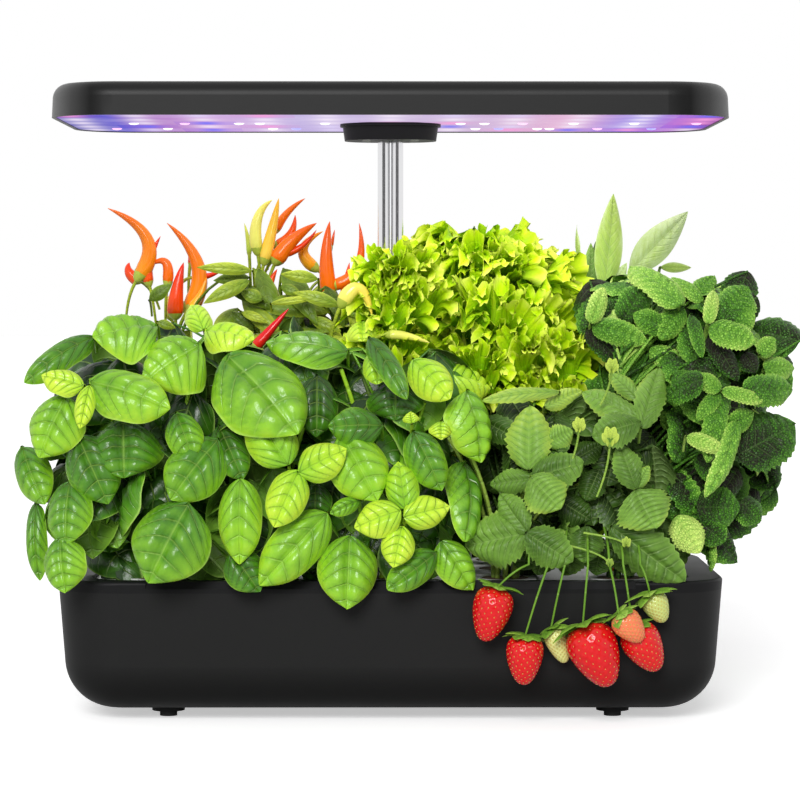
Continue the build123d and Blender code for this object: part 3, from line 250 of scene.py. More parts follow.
# The light's colour on the window, from its left end to its right end.
WINDOW_WASH = (
    (0.0, (0.03, 0.03, 0.42)), (0.07, (0.10, 0.08, 0.62)), (0.13, (0.42, 0.16, 0.56)),
    (0.22, (0.66, 0.38, 0.74)), (0.36, (0.54, 0.44, 0.78)), (0.50, (0.60, 0.48, 0.74)),
    (0.66, (0.66, 0.46, 0.72)), (0.78, (0.80, 0.42, 0.66)), (0.88, (0.22, 0.16, 0.80)),
    (0.95, (0.48, 0.14, 0.66)), (1.0, (0.30, 0.05, 0.40)),
)


def mix(tree, share, first, second):
    """A colour between two, each a colour or another node's output."""
    made = add_node(tree, "Mix", data_type="RGBA")
    tree.links.new(share, made.inputs["Factor"])
    for socket, colour in (("A", first), ("B", second)):
        if isinstance(colour, tuple):
            made.inputs[socket].default_value = (*colour, 1)
        else:
            tree.links.new(colour, made.inputs[socket])
    return made.outputs["Result"]


def glowing_window():
    """Frosted polycarbonate with a soft spot of light and colour around every LED."""
    material, tree, shader = new_material("frosted_window", (0.10, 0.09, 0.14), 0.5)
    place = parts_of(tree, object_place(tree))
    nearest_led = add_node(tree, "CombineXYZ")
    squares = []
    for axis, pitch in LED_PITCH.items():
        count = calc(tree, "DIVIDE", place[axis], pitch)
        nearest = calc(tree, "ROUND", count)
        tree.links.new(nearest, nearest_led.inputs[axis])
        off = calc(tree, "MULTIPLY", calc(tree, "SUBTRACT", count, nearest), pitch)
        squares.append(calc(tree, "MULTIPLY", off, off))
    square = calc(tree, "ADD", squares[0], calc(tree, "MULTIPLY", squares[1], SPOT_STRETCH))
    spot = calc(tree, "EXPONENT", calc(tree, "MULTIPLY", square, -1 / SPOT_RADIUS**2))
    spot = calc(tree, "MULTIPLY", spot, SPOT_STRENGTH)
    pick = add_node(tree, "TexWhiteNoise", noise_dimensions="3D")
    tree.links.new(nearest_led.outputs[0], pick.inputs["Vector"])
    led = ramp(tree, pick.outputs["Value"], LED_COLOURS, "CONSTANT")
    side = calc(tree, "ADD", calc(tree, "DIVIDE", place["X"], WINDOW_WIDTH), 0.5)
    cloud = spread(tree, noise(tree, 26.0), -0.15, 0.35)
    share = calc(tree, "ADD", spot, cloud, clamp=True)
    glow = mix(tree, share, ramp(tree, side, WINDOW_WASH), led)
    tree.links.new(glow, shader.inputs["Emission Color"])
    shader.inputs["Emission Strength"].default_value = 0.92
    shader.inputs["Specular IOR Level"].default_value = 0.0
    return material


paint(glowing_window(), "light_window")

# The brightest LEDs show through small clear domes under the window: x and y in millimetres,
# and which of the dome colours.
BRIGHT_LEDS = (
    (-161, 0, 0), (-129, 0, 1), (-82, 0, 0), (-76, 62, 0), (-61, 62, 2), (-41, 0, 0), (44, 0, 0),
    (55, 62, 0), (59, 0, 0), (83, 0, 1), (95, 62, 0), (115, 0, 0), (134, 62, 1), (153, 0, 0),
    (169, 62, 2), (192, 0, 1), (-95, 0, 0), (-144, 62, 0), (-177, 62, 1), (70, 62, 2), (103, 62, 0),
)
DOME_COLOURS = (("white", (1.0, 0.96, 1.0)), ("pink", (1.0, 0.50, 0.85)), ("blue", (0.35, 0.35, 1.0)))
DOME_RADIUS = 0.0023
DOME_SHAPE = (1.4, 1.4, 0.42)
DOME_HEIGHT = 0.3648
for number, (name, colour) in enumerate(DOME_COLOURS):
    domes = []
    bpy.ops.object.select_all(action="DESELECT")
    for x, y, kind in BRIGHT_LEDS:
        if kind == number:
            bpy.ops.mesh.primitive_uv_sphere_add(segments=20, ring_count=10, radius=DOME_RADIUS)
            dome = bpy.context.object
            dome.scale = DOME_SHAPE
            dome.location = (x / 1000, y / 1000, DOME_HEIGHT)
            dome.name = "led_domes_" + name
            bpy.ops.object.transform_apply(location=True, scale=True)
            bpy.ops.object.shade_smooth()
            domes.append(dome)
    bpy.ops.object.select_all(action="DESELECT")
    for dome in domes:
        dome.select_set(True)
    bpy.context.view_layer.objects.active = domes[0]
    bpy.ops.object.join()
    glow, _, shader = new_material("dome_" + name, colour, 0.2)
    shader.inputs["Emission Color"].default_value = (*colour, 1)
    shader.inputs["Emission Strength"].default_value = 1.0
    domes[0].data.materials.append(glow)
    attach(domes[0], "lamp")

# ---------------------------------------------------------------- Leaves: how a blade is made
# Every leaf is one sheet: a flat grid, shaped along its midrib (0 to 1) and across it (-1 to
# 1), bent over lengthwise and crosswise, and puffed up between its side veins.

# Leaves, pods and buds are placed by where they are seen from EYE on an upright plane at PLANE_Y.
EYE = Vector((0, -1.938, 0.2603))
PLANE_Y = -0.060
# The pole's middle, and the half-widths of the room that leaves leave it.
POLE_PLACE = np.array((0, 0.004))
POLE_ROOM = np.array((0.0165, 0.0120))
# Where stems come out of a basket's sponge, and the lowest place for a twig's foot.
STEM_FOOT = 0.084
TWIG_FOOT = 0.115
BASKET_PITCH, ROW_PITCH = 0.070, 0.062
# How strongly side veins curve to the tip.
VEIN_CURVE = 1.25
# Raised cells of a wrinkled skin are level past this distance from their borders, and their
# mean height.
CELL_LEVEL, CELL_MEAN = 0.24, 0.17


def basket(column, row):
    """The middle of a basket, counted from the pole: columns to the right, rows to the back."""
    return column * BASKET_PITCH, row * ROW_PITCH


def seen(x, z, y):
    """The point at depth y that is seen, from the front, where (x, z) is on the plane; mm."""
    on_plane = Vector((x / 1000, PLANE_Y, z / 1000))
    return EYE + (on_plane - EYE) * ((y / 1000 - EYE.y) / (PLANE_Y - EYE.y))


def blank(rows, columns):
    """A flat grid's places along and across, and its faces."""
    bpy.ops.mesh.primitive_grid_add(x_subdivisions=rows, y_subdivisions=columns, size=2)
    flat = bpy.context.object
    points = np.array([v.co for v in flat.data.vertices])
    faces = np.array([p.vertices for p in flat.data.polygons])
    bpy.data.meshes.remove(flat.data)
    return (1 - np.cos(pi * (points[:, 0] + 1) / 2)) / 2, points[:, 1], faces


def ovate(along):
    """Half-width of an oval with a short point, 1 at its fullest place."""
    return np.clip(1 - np.abs(2 * along**0.86 - 1) ** 2.3, 0, 1) ** (0.46 + 0.20 * along**4)


def vein_place(along, edge, slant):
    """Where along the midrib the side vein through a point starts: veins curve to the tip."""
    drift = slant * edge**VEIN_CURVE
    return (along - drift) / (1 - drift)


def new_plant():
    """An empty mesh that a plant's sheets and tubes are put into."""
    return {"points": [], "faces": [], "uv": [], "tint": [], "count": 0}


def in_pole(points):
    """Whether a leaf would stand in the pole or its cap."""
    return (np.linalg.norm((points[:, :2] - POLE_PLACE) / POLE_ROOM, axis=1) < 1).any()


def past_pole(points):
    """Moves a leaf that would stand in the pole clear of it, to the side it is on."""
    if not in_pole(points):
        return points
    off = points[:, :2] - POLE_PLACE
    way = off.mean(axis=0) / np.linalg.norm(off.mean(axis=0))
    clearly_in_front = off[:, 1].mean() < -0.008
    if clearly_in_front:
        way = np.array((0.0, -1.0))
    level = np.array((-way[1], way[0]))
    beside = np.abs(off @ level) < np.linalg.norm(POLE_ROOM * level)
    shift = max(0, np.linalg.norm(POLE_ROOM * way) - (off @ way)[beside].min())
    return points + np.array((*way * shift, 0))


def add_patch(plant, points, faces, uv, tint):
    """Puts one sheet or tube into a plant's mesh."""
    points = past_pole(points)
    plant["points"].append(points)
    plant["faces"].extend((faces + plant["count"]).tolist())
    plant["uv"].append(uv)
    plant["tint"].append(np.full(len(points), tint) if np.isscalar(tint) else tint)
    plant["count"] += len(points)


def leaf_frame(base, tip, facing):
    """A leaf's length, and its directions: along it, across it and out of its upper face."""
    axis = tip - base
    length = axis.length
    axis = axis.normalized()
    normal = (facing - facing.dot(axis) * axis).normalized()
    return length, (axis, normal.cross(axis), normal)


def lay_out(base, directions, distances):
    """Points at given distances from a leaf's base in its three directions."""
    points = np.array(base)
    for way, far in zip(directions, distances):
        points = points + np.outer(far, way)
    return points


def blade_map(along, across):
    """The UV map of a blade: along it and across it, 0 to 1."""
    return np.column_stack((along, (across + 1) / 2))


def blade(
    plant, sheet, base, tip, facing, width, tint,
    outline=ovate, cup=0.9, bow=0.7, veins=6.0, quilt=0.03, crease=0.10, wave=0.0, teeth=0.0,
    tooth_count=14.0, slant=0.4, roll=0.0, contrast=1.0,
):
    """One leaf from base to tip, its upper face turned to facing. Metres.

    It is bent across (cup) and along (bow), puffed up between its veins (quilt), drawn in along
    its midrib (crease), and its edge is waved and toothed. Its tint changes over it (contrast),
    with painted highlight on the puffs and painted shade toward its base.
    """
    along, across, faces = sheet
    length, directions = leaf_frame(base, tip, facing)
    # Across the leaf: its half-width with teeth at the edge, bent down on both sides.
    fullness = outline(along)
    edge = np.abs(across)
    saw = (along * tooth_count) % 1.0
    tooth = teeth * (saw - 0.5) * edge**5 * np.sin(pi * np.clip(along, 0, 1)) ** 0.3
    half = width / 2 * fullness * (1 + tooth)
    turn = across * cup
    sideways = half * np.sin(turn) / sin(cup)
    down = half * (1 - np.cos(turn)) / sin(cup)
    # Out of the leaf: puffed up from vein to vein, rippled at the edge, sunk at the midrib.
    phase = (vein_place(along, edge, slant) * veins) % 1.0
    lobe = (1 - (2 * phase - 1) ** 2) ** 0.8
    inside = np.minimum(edge / 0.18, 1) * (1 - edge**4) * np.sin(pi * along) ** 0.5
    puff = quilt * width * lobe * inside
    ripple = wave * width * np.sin(along * 9 + across * 2.5 + tint * 40) * edge**2
    gutter = crease * width / 2 * np.exp(-((across / 0.16) ** 2)) * fullness
    lift = puff + ripple - down - gutter
    # Along the leaf: laid on an arc and rolled about the midrib.
    arc = bow * (along - 0.5)
    radius = length / (2 * sin(bow / 2))
    forward = radius * (np.sin(arc) + sin(bow / 2)) + lift * np.sin(arc)
    outward = radius * (np.cos(arc) - cos(bow / 2)) + lift * np.cos(arc)
    tilt = roll * (along - 0.2)
    rolled_side = sideways * np.cos(tilt) - outward * np.sin(tilt) * 0.2
    rolled_out = outward + sideways * np.sin(tilt)
    points = lay_out(base, directions, (forward, rolled_side, rolled_out))
    # Painted highlight on the puffs, painted shade toward the base; the paler edge is partly the leaf's own
    # colour, partly painted light.
    shade = 0.10 * (lobe - 0.6) + 0.16 * (edge**3 - 0.3) + 0.12 * (along - 0.5)
    colour = np.clip(tint + contrast * shade, 0, 1)
    add_patch(plant, points, faces, blade_map(along, across), colour)


def ring_faces(rings, sides):
    """The faces between rings of points that follow each other."""
    return np.array([
        (i * sides + j, i * sides + (j + 1) % sides, (i + 1) * sides + (j + 1) % sides, (i + 1) * sides + j)
        for i in range(rings - 1)
        for j in range(sides)
    ])


def tube(path, radius, sides, beside):
    """Rings of points round a path and their faces; the path never runs in the direction beside."""
    path = np.array([np.array(p) for p in path])
    line = np.gradient(path, axis=0)
    line /= np.linalg.norm(line, axis=1)[:, None]
    first = np.cross(line, beside)
    first /= np.linalg.norm(first, axis=1)[:, None]
    second = np.cross(line, first)
    turn = np.linspace(0, 2 * pi, sides, endpoint=False)[None, :, None]
    ring = first[:, None] * np.cos(turn) + second[:, None] * np.sin(turn)
    return (path[:, None] + ring * radius[:, :, None]).reshape(-1, 3), ring_faces(len(path), sides)


def stem(plant, path, start, end, tint, sides=6):
    """A round stem along a path, tapering from one radius to another."""
    steps = len(path)
    radius = np.linspace(start, end, steps)[:, None]
    points, faces = tube(path, radius, sides, (0.31, 0.87, 0.38))
    uv = np.column_stack((np.repeat(np.linspace(0, 1, steps), sides), np.full(steps * sides, 0.25)))
    add_patch(plant, points, faces, uv, tint)


def bend(start, middle, end, steps=7):
    """Points on a smooth curve that leaves start and reaches end past middle."""
    t = np.linspace(0, 1, steps)[:, None]
    return (1 - t) ** 2 * np.array(start) + 2 * t * (1 - t) * np.array(middle) + t**2 * np.array(end)


def stand_stems(plant, root, rises, ring, reach, lean, knee, radii, tint, first=0.0, sides=6):
    """Stems from one basket, one for each rise: they start on a small ring, go straight up to
    the knee, and then spread by reach and lean, each in x and y."""
    for number, rise in enumerate(rises):
        turn = number * 2 * pi / len(rises) + first
        foot = Vector((root[0] + ring * cos(turn), root[1] + ring * sin(turn), STEM_FOOT))
        top = foot + Vector((lean[0] + reach[0] * cos(turn), lean[1] + reach[1] * sin(turn), rise))
        stem(plant, bend(foot, foot + Vector((0, 0, knee)), top, 9), *radii, tint, sides)


def finish_plant(plant, name, material, body, *stands_for):
    """Makes the plant's mesh and lets it stand for its CAD nodes."""
    mesh = bpy.data.meshes.new(name)
    mesh.from_pydata(np.vstack(plant["points"]).tolist(), [], plant["faces"])
    uv = np.vstack(plant["uv"])
    corner = np.zeros(len(mesh.loops), dtype=np.int32)
    mesh.loops.foreach_get("vertex_index", corner)
    mesh.uv_layers.new(name="blade").data.foreach_set("uv", uv[corner].ravel())
    mesh.attributes.new("tint", "FLOAT", "POINT").data.foreach_set(
        "value", np.concatenate(plant["tint"])
    )
    mesh.polygons.foreach_set("use_smooth", np.ones(len(mesh.polygons), dtype=bool))
    made = bpy.data.objects.new(name, mesh)
    bpy.context.collection.objects.link(made)
    mesh.materials.append(material)
    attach(made, body)
    if stands_for:
        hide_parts(*stands_for)


def wrinkles(tree, scale):
    """Small raised cells in the object's own coordinates, 0 at their borders."""
    made = add_node(tree, "TexVoronoi", feature="DISTANCE_TO_EDGE")
    made.inputs["Scale"].default_value = scale
    tree.links.new(object_place(tree), made.inputs["Vector"])
    return calc(tree, "MINIMUM", made.outputs["Distance"], CELL_LEVEL)


def edge_and_veins(tree, veins, slant):
    """From a blade's UV map: how near a point is to the edge, and 1 on the midrib and the veins."""
    place = parts_of(tree, add_node(tree, "UVMap", uv_map="blade").outputs["UV"])
    off_midrib = calc(tree, "SUBTRACT", place["Y"], 0.5)
    edge = calc(tree, "ABSOLUTE", calc(tree, "MULTIPLY", off_midrib, 2.0))
    drift = calc(tree, "MULTIPLY", calc(tree, "POWER", edge, VEIN_CURVE), slant)
    start = calc(
        tree, "DIVIDE",
        calc(tree, "SUBTRACT", place["X"], drift), calc(tree, "SUBTRACT", 1.0, drift),
    )
    phase = calc(tree, "FRACT", calc(tree, "MULTIPLY", start, veins))
    off_vein = calc(tree, "MINIMUM", phase, calc(tree, "SUBTRACT", 1.0, phase))
    thin = calc(tree, "SUBTRACT", 1.0, calc(tree, "MULTIPLY", off_vein, 60.0 / veins), clamp=True)
    fading = calc(tree, "SUBTRACT", 1.0, calc(tree, "POWER", edge, 3.0))
    midrib = calc(tree, "SUBTRACT", 1.0, calc(tree, "MULTIPLY", edge, 22.0), clamp=True)
    return edge, calc(tree, "MAXIMUM", calc(tree, "MULTIPLY", thin, fading), midrib)


def leaf_material(
    name, stops, vein, vein_share, veins, slant, shine, pebble=0.0, pebble_scale=900.0, gloss=0.25,
    painted_cell_light=0.0, groove=0.35, rim=0.4, under_share=0.35,
):
    """Leaf skin: its colour runs with the tint, with paler veins and rim and a duller underside.

    vein is the veins' colour, shine the roughness, pebble the height of small raised cells,
    painted_cell_light how much paler they are painted, as painted highlight on the cells with
    painted shade at their borders, and groove the depth of the veins.
    """
    material, tree, shader = new_material(name, stops[1][1], shine)
    shader.inputs["Specular IOR Level"].default_value = gloss
    tint = add_node(tree, "Attribute", attribute_name="tint").outputs["Fac"]
    tint = mottle(tree, tint, 90.0, 0.14)
    cells = wrinkles(tree, pebble_scale)
    # Painted highlight on the raised cells and painted shade at their borders.
    if painted_cell_light:
        cell_highlight = calc(tree, "MULTIPLY", calc(tree, "SUBTRACT", cells, CELL_MEAN), painted_cell_light)
        tint = calc(tree, "ADD", tint, cell_highlight)
    edge, lines = edge_and_veins(tree, veins, slant)
    border = calc(tree, "MULTIPLY", calc(tree, "SUBTRACT", edge, 0.93), 14.0 * rim, clamp=True)
    pale = calc(tree, "MAXIMUM", calc(tree, "MULTIPLY", lines, vein_share), border)
    upper = mix(tree, pale, ramp(tree, tint, stops), vein)
    below = calc(tree, "MULTIPLY", add_node(tree, "NewGeometry").outputs["Backfacing"], under_share)
    dull = tuple(0.5 * a + 0.5 * b for a, b in zip(vein, stops[1][1]))
    tree.links.new(mix(tree, below, upper, dull), shader.inputs["Base Color"])
    roughness = spread(tree, noise(tree, 140.0), shine - 0.06, shine + 0.08)
    tree.links.new(roughness, shader.inputs["Roughness"])
    if pebble:
        grain = calc(tree, "MULTIPLY", cells, pebble)
    else:
        grain = calc(tree, "MULTIPLY", noise(tree, 420.0), 0.4)
    height = calc(tree, "ADD", calc(tree, "MULTIPLY", lines, -groove), grain)
    bump(tree, shader, height, 1.0, 0.0008)
    return material


def leaf_body(node):
    """A CAD leaf body, ready to be met by lines."""
    mesh = nodes[node].data
    return BVHTree.FromPolygons([v.co for v in mesh.vertices], [p.vertices for p in mesh.polygons])


def skin_triangles(node):
    """The corners of a CAD leaf body's triangles, the ways they face, and their areas."""
    mesh = nodes[node].data
    mesh.calc_loop_triangles()
    points = np.array([v.co for v in mesh.vertices])
    corners = points[np.array([t.vertices for t in mesh.loop_triangles])]
    crossed = np.cross(corners[:, 1] - corners[:, 0], corners[:, 2] - corners[:, 0])
    area = np.linalg.norm(crossed, axis=1)
    return corners, crossed / np.maximum(area, 1e-12)[:, None], area


def twig(plant, base, along, roots, tint):
    """A thin stalk to a leaf's base from the nearest root."""
    root_x, root_y = min(roots, key=lambda root: (root[0] - base.x) ** 2 + (root[1] - base.y) ** 2)
    joint = Vector((root_x, root_y, max(base.z - 0.05, TWIG_FOOT)))
    knee = base + (joint - base) * 0.4 - along * 0.012
    stem(plant, bend(base, knee, joint, 6), 0.0008, 0.0012, tint, 4)


def cover(
    plant, node, roots, sheet, count, options, sink, size, ratio, tint,
    hang=0.8, up=0.45, front_sink=None, top_sink=None, keep=lambda place: True,
):
    """Scatters leaves over a CAD leaf body, a little under its skin, on twigs from the roots.

    sink, size, ratio (of width to length) and tint are ranges. front_sink and top_sink are the
    sink where placed leaves stand before or above these, hang and up turn a leaf's tip down and
    its face up, and keep says where leaves may be.
    """
    body = leaf_body(node)
    corners, facing, area = skin_triangles(node)
    area = np.where(facing[:, 2] < -0.5, 0, area)
    picks = chance.choice(len(area), count, p=area / area.sum())
    for pick in picks:
        weights = chance.dirichlet((1, 1, 1))
        out = Vector(facing[pick])
        depth, shade = sink, 1.0
        # Leaves sunk under the front are painted at half their tint, as painted shade.
        if front_sink and out.y < -0.25:
            depth, shade = front_sink, 0.5
        if top_sink and (out.z > 0.4 or out.x < -0.4):
            depth = top_sink
        place = Vector(weights @ corners[pick]) - out * chance.uniform(*depth)
        skin = body.ray_cast(Vector((place.x, -1, place.z)), Vector((0, 1, 0)))[0]
        if not keep(place) or front_sink and (skin is None or place.y < skin.y + front_sink[0]):
            continue
        face = (out + Vector((0, 0, up)) + Vector(chance.normal(0, 0.22, 3))).normalized()
        along = Vector((0, 0, -hang)) + Vector(chance.normal(0, 0.45, 3))
        along = (along - along.dot(face) * face).normalized()
        length = chance.uniform(*size)
        width = length * chance.uniform(*ratio)
        base = place - along * length / 2
        colour = chance.uniform(*tint) * shade
        blade(plant, sheet, base, place + along * length / 2, face, width, colour, **options)
        twig(plant, base, along, roots, min(colour + 0.1, 0.9))


# ---------------------------------------------------------------- Basil
# Genovese basil in three baskets along the front and one beside the pole: big domed glossy
# leaves that overhang the rim, lime young tips, pale green stems.

# Each leaf: where its base and tip are seen on the plane (x, z, x, z), its width, how many
# leaves it lies behind, and its tint from dark to lime. Millimetres.
BASIL_LEAVES = (
    (-143, 239, -181, 232, 24, 1, 0.55), (-182, 232, -222, 204, 17, 2, 0.35),
    (-187, 202, -213, 208, 15, 0, 0.95), (-184, 202, -189, 176, 12, 0, 0.95),
    (-198, 196, -214, 158, 33, 1, 0.6), (-184, 205, -134, 188, 30, 0, 0.6),
    (-117, 228, -150, 205, 40, 1, 0.62), (-113, 236, -83, 230, 20, 1, 0.9),
    (-113, 236, -122, 251, 16, 2, 0.85), (-100, 221, -56, 173, 51, 1, 0.5),
    (-164, 180, -162, 146, 48, 2, 0.3), (-191, 171, -172, 130, 32, 2, 0.28),
    (-226, 164, -210, 130, 23, 2, 0.42), (-197, 143, -198, 105, 28, 1, 0.4),
    (-217, 130, -214, 83, 13, 2, 0.4), (-203, 109, -198, 76, 26, 0, 0.5),
    (-131, 185, -120, 157, 22, 1, 0.45), (-106, 169, -134, 133, 34, 1, 0.4),
    (-105, 177, -90, 145, 21, 2, 0.25), (-124, 130, -148, 82, 46, 0, 0.42),
    (-92, 145, -92, 93, 26, 1, 0.62), (-97, 100, -80, 76, 24, 1, 0.25),
    (-26, 223, -76, 228, 20, 2, 0.45), (-17, 241, -17, 229, 18, 1, 0.95),
    (-13, 231, 10, 194, 15, 0, 0.3), (-8, 224, -8, 203, 18, 1, 0.7),
    (14, 218, 36, 194, 23, 1, 0.85), (38, 210, 61, 200, 22, 1, 0.9),
    (47, 199, 55, 155, 24, 1, 0.6), (-5, 178, -38, 177, 23, 1, 0.3),
    (-30, 172, -8, 132, 35, 1, 0.62), (-62, 154, -85, 187, 29, 1, 0.72),
    (-56, 149, -27, 163, 23, 0, 0.85), (-56, 150, -71, 116, 24, 0, 0.85),
    (-19, 132, -37, 124, 10, 1, 0.45), (14, 174, 31, 138, 23, 1, 0.4),
    (9, 127, 5, 155, 20, 1, 0.7), (6, 126, -22, 115, 22, 0, 0.92),
    (8, 122, 36, 128, 20, 0, 0.95), (46, 154, 45, 108, 24, 2, 0.42),
    (7, 116, 2, 91, 20, 0, 0.95), (-39, 124, -80, 80, 30, 1, 0.6),
    (-25, 110, -27, 66, 36, 1, 0.55), (28, 99, -2, 78, 20, 1, 0.38),
    (31, 107, 50, 77, 22, 1, 0.55), (3, 205, 3, 181, 35, 3, 0.15),
    (-45, 208, -45, 171, 26, 3, 0.15), (-46, 142, -46, 119, 20, 3, 0.15),
    (31, 180, 31, 169, 14, 0, 0.95), (13, 179, 12, 186, 10, 0, 0.95),
)


def skin_at(body, x, z):
    """The depth at which the line of sight through (x, z) on the plane meets a leaf body, and
    the way the body faces there."""
    aim = (seen(x, z, PLANE_Y * 1000) - EYE).normalized()
    place, out, _, _ = body.ray_cast(EYE, aim)
    if place is None:
        place, out, _, _ = body.find_nearest(EYE + aim * (PLANE_Y - EYE.y) / aim.y)
    return place.y * 1000, out


# How far one layer of leaves lies behind another, and the first layer before the skin. Millimetres.
LAYER_STEP, LAYER_LIFT = 9.0, 4.0
# A leaf that points at the eye would come out very long. Past LONGEST times the length that
# is seen, its depth is cut to DEEPEST times that length.
LONGEST, DEEPEST = 1.7, 1.37


def place_leaves(plant, sheet, leaves, node, options, petiole, tip_up=0.35):
    """Puts in leaves where they are seen, on the CAD leaf body or some layers under its skin."""
    body = leaf_body(node)
    for x0, z0, x1, z1, width, layer, tint in leaves:
        x, z = (x0 + x1) / 2, (z0 + z1) / 2
        depth, out = skin_at(body, x, z)
        depth += layer * LAYER_STEP - LAYER_LIFT
        face = out + Vector((0, -0.55, tip_up)) + Vector(chance.normal(0, 0.12, 3))
        # Every placed leaf shows its upper face to the front.
        face.y = min(face.y, -0.3)
        face.normalize()
        middle = seen(x, z, depth)
        flat = (seen(x1, z1, depth) - seen(x0, z0, depth)) / 2
        reach = flat - Vector((0, 1, 0)) * (flat.x * face.x + flat.z * face.z) / face.y
        if reach.length > LONGEST * flat.length:
            reach = flat + (reach - flat) * (DEEPEST * flat.length / (reach - flat).length)
        base, tip = middle - reach, middle + reach
        side = face.cross(reach.normalized())
        shown = max((side.x**2 + side.z**2) ** 0.5, 0.5)
        roll = chance.uniform(-0.35, 0.35)
        blade(plant, sheet, base, tip, face, width / 1000 / shown, tint, roll=roll, **options)
        inner = base + Vector((0, 0.022, -0.010))
        path = bend(base, base + Vector((0, 0.010, 0.001)), inner)
        stem(plant, path, petiole, petiole, min(tint + 0.15, 0.9))


BASIL_RAMP = (
    (0.0, (0.008, 0.035, 0.002)), (0.3, (0.065, 0.22, 0.008)), (0.6, (0.25, 0.54, 0.020)),
    (0.85, (0.44, 0.72, 0.028)), (1.0, (0.60, 0.82, 0.045)),
)
basil_skin = leaf_material(
    "basil_leaf", BASIL_RAMP, vein=(0.56, 0.84, 0.18), vein_share=0.26, veins=4.5, slant=0.50,
    shine=0.31, gloss=0.5, rim=0.6, groove=0.7,
)
basil = new_plant()
basil_sheet = blank(30, 18)
small_sheet = blank(14, 8)
BASIL_ROOTS = (basket(-2, -1), basket(-1, -1), basket(0, -1), basket(-1, 0))
basil_options = {
    "cup": 1.15, "bow": 1.0, "veins": 4.5, "quilt": 0.066, "crease": 0.22, "wave": 0.04, "slant": 0.5,
    "contrast": 1.9,
}
place_leaves(basil, basil_sheet, BASIL_LEAVES, "basil_leaves", basil_options, petiole=0.0011)
cover(
    basil, "basil_leaves", BASIL_ROOTS, small_sheet, 480, basil_options,
    sink=(0.030, 0.052), size=(0.036, 0.052), ratio=(0.68, 0.86), tint=(0.0, 0.42), hang=1.2,
    front_sink=(0.032, 0.065), top_sink=(0.060, 0.080),
    keep=lambda place: place.x > -0.196 and place.z < 0.222,
)
for root in BASIL_ROOTS:
    stand_stems(
        basil, root, chance.uniform(0.10, 0.13, 4), ring=0.006, reach=(0.030, 0.022),
        lean=(0, -0.006), knee=0.06, radii=(0.0022, 0.0013), tint=0.75, first=0.6,
    )
finish_plant(basil, "basil", basil_skin, "growing_deck", "basil_leaves")

# ---------------------------------------------------------------- Strawberry
# A day-neutral strawberry in one front basket: three-part toothed leaves over the rim, and
# fruits on bent stalks down the front of the tank. The fruits have seeds in pits and sepals.

# Rows as in BASIL_LEAVES.
BERRY_LEAVES = (
    (152, 181, 118, 198, 17, 1, 0.55), (152, 177, 165, 212, 20, 1, 0.5),
    (152, 180, 123, 171, 22, 0, 0.42), (150, 139, 140, 166, 19, 1, 0.45),
    (150, 138, 162, 115, 37, 0, 0.55), (150, 139, 158, 153, 9, 1, 0.62),
    (86, 146, 118, 155, 23, 1, 0.4), (86, 146, 104, 127, 30, 0, 0.6),
    (84, 151, 85, 189, 30, 2, 0.66), (83, 113, 47, 103, 35, 0, 0.52),
    (83, 113, 67, 135, 19, 1, 0.46), (83, 112, 111, 94, 26, 0, 0.4),
    (135, 116, 180, 82, 30, 1, 0.4), (88, 146, 61, 141, 16, 2, 0.45),
    (95, 166, 111, 175, 17, 2, 0.62), (103, 198, 56, 193, 9, 2, 0.75),
    (94, 189, 117, 199, 12, 3, 0.78), (112, 157, 129, 166, 15, 3, 0.18),
    (103, 132, 122, 120, 21, 3, 0.12), (128, 151, 119, 132, 18, 3, 0.14),
    (55, 181, 79, 169, 18, 3, 0.2), (152, 193, 134, 210, 12, 2, 0.6),
    (128, 105, 146, 96, 17, 3, 0.2), (67, 96, 91, 87, 18, 3, 0.3),
    (97, 110, 90, 86, 24, 4, 0.30), (113, 108, 106, 86, 24, 4, 0.42),
    (130, 108, 125, 86, 24, 4, 0.26), (141, 104, 148, 86, 20, 4, 0.36),
    (120, 116, 119, 94, 24, 2, 0.34), (101, 112, 105, 90, 22, 2, 0.28),
    (141, 112, 150, 92, 20, 3, 0.3),
)
STRAWBERRY_RAMP = (
    (0.0, (0.010, 0.024, 0.004)), (0.3, (0.055, 0.13, 0.014)), (0.6, (0.20, 0.38, 0.055)),
    (1.0, (0.56, 0.72, 0.10)),
)


def blunt(along):
    """Half-width of a broad leaflet with a blunt, toothed end."""
    return np.sin(pi * along**0.86) ** 0.52 * (0.86 + 0.14 * along)


strawberry_skin = leaf_material(
    "strawberry_leaf", STRAWBERRY_RAMP, vein=(0.36, 0.54, 0.16), vein_share=0.35, veins=8.0,
    slant=0.35, shine=0.40, rim=0.3,
)
strawberry = new_plant()
toothed_sheet = blank(48, 14)
STRAWBERRY_ROOT = basket(1, -1)
strawberry_options = {
    "outline": blunt, "cup": 0.85, "bow": 0.7, "veins": 8.0, "quilt": 0.07, "crease": 0.24,
    "wave": 0.05, "teeth": 0.20, "tooth_count": 10.0, "slant": 0.35, "contrast": 1.4,
}
place_leaves(
    strawberry, toothed_sheet, BERRY_LEAVES, "strawberry_leaves", strawberry_options, petiole=0.001,
)
cover(
    strawberry, "strawberry_leaves", (STRAWBERRY_ROOT,), toothed_sheet, 90, strawberry_options,
    sink=(0.010, 0.022), size=(0.032, 0.046), ratio=(0.75, 0.9), tint=(0.1, 0.45), hang=1.2,
    front_sink=(0.022, 0.05), top_sink=(0.034, 0.05), keep=lambda place: place.z < 0.186,
)
stand_stems(
    strawberry, STRAWBERRY_ROOT, chance.uniform(0.05, 0.09, 8), ring=0.007, reach=(0.040, 0.018),
    lean=(0.012, -0.012), knee=0.04, radii=(0.0016, 0.0011), tint=0.8,
)
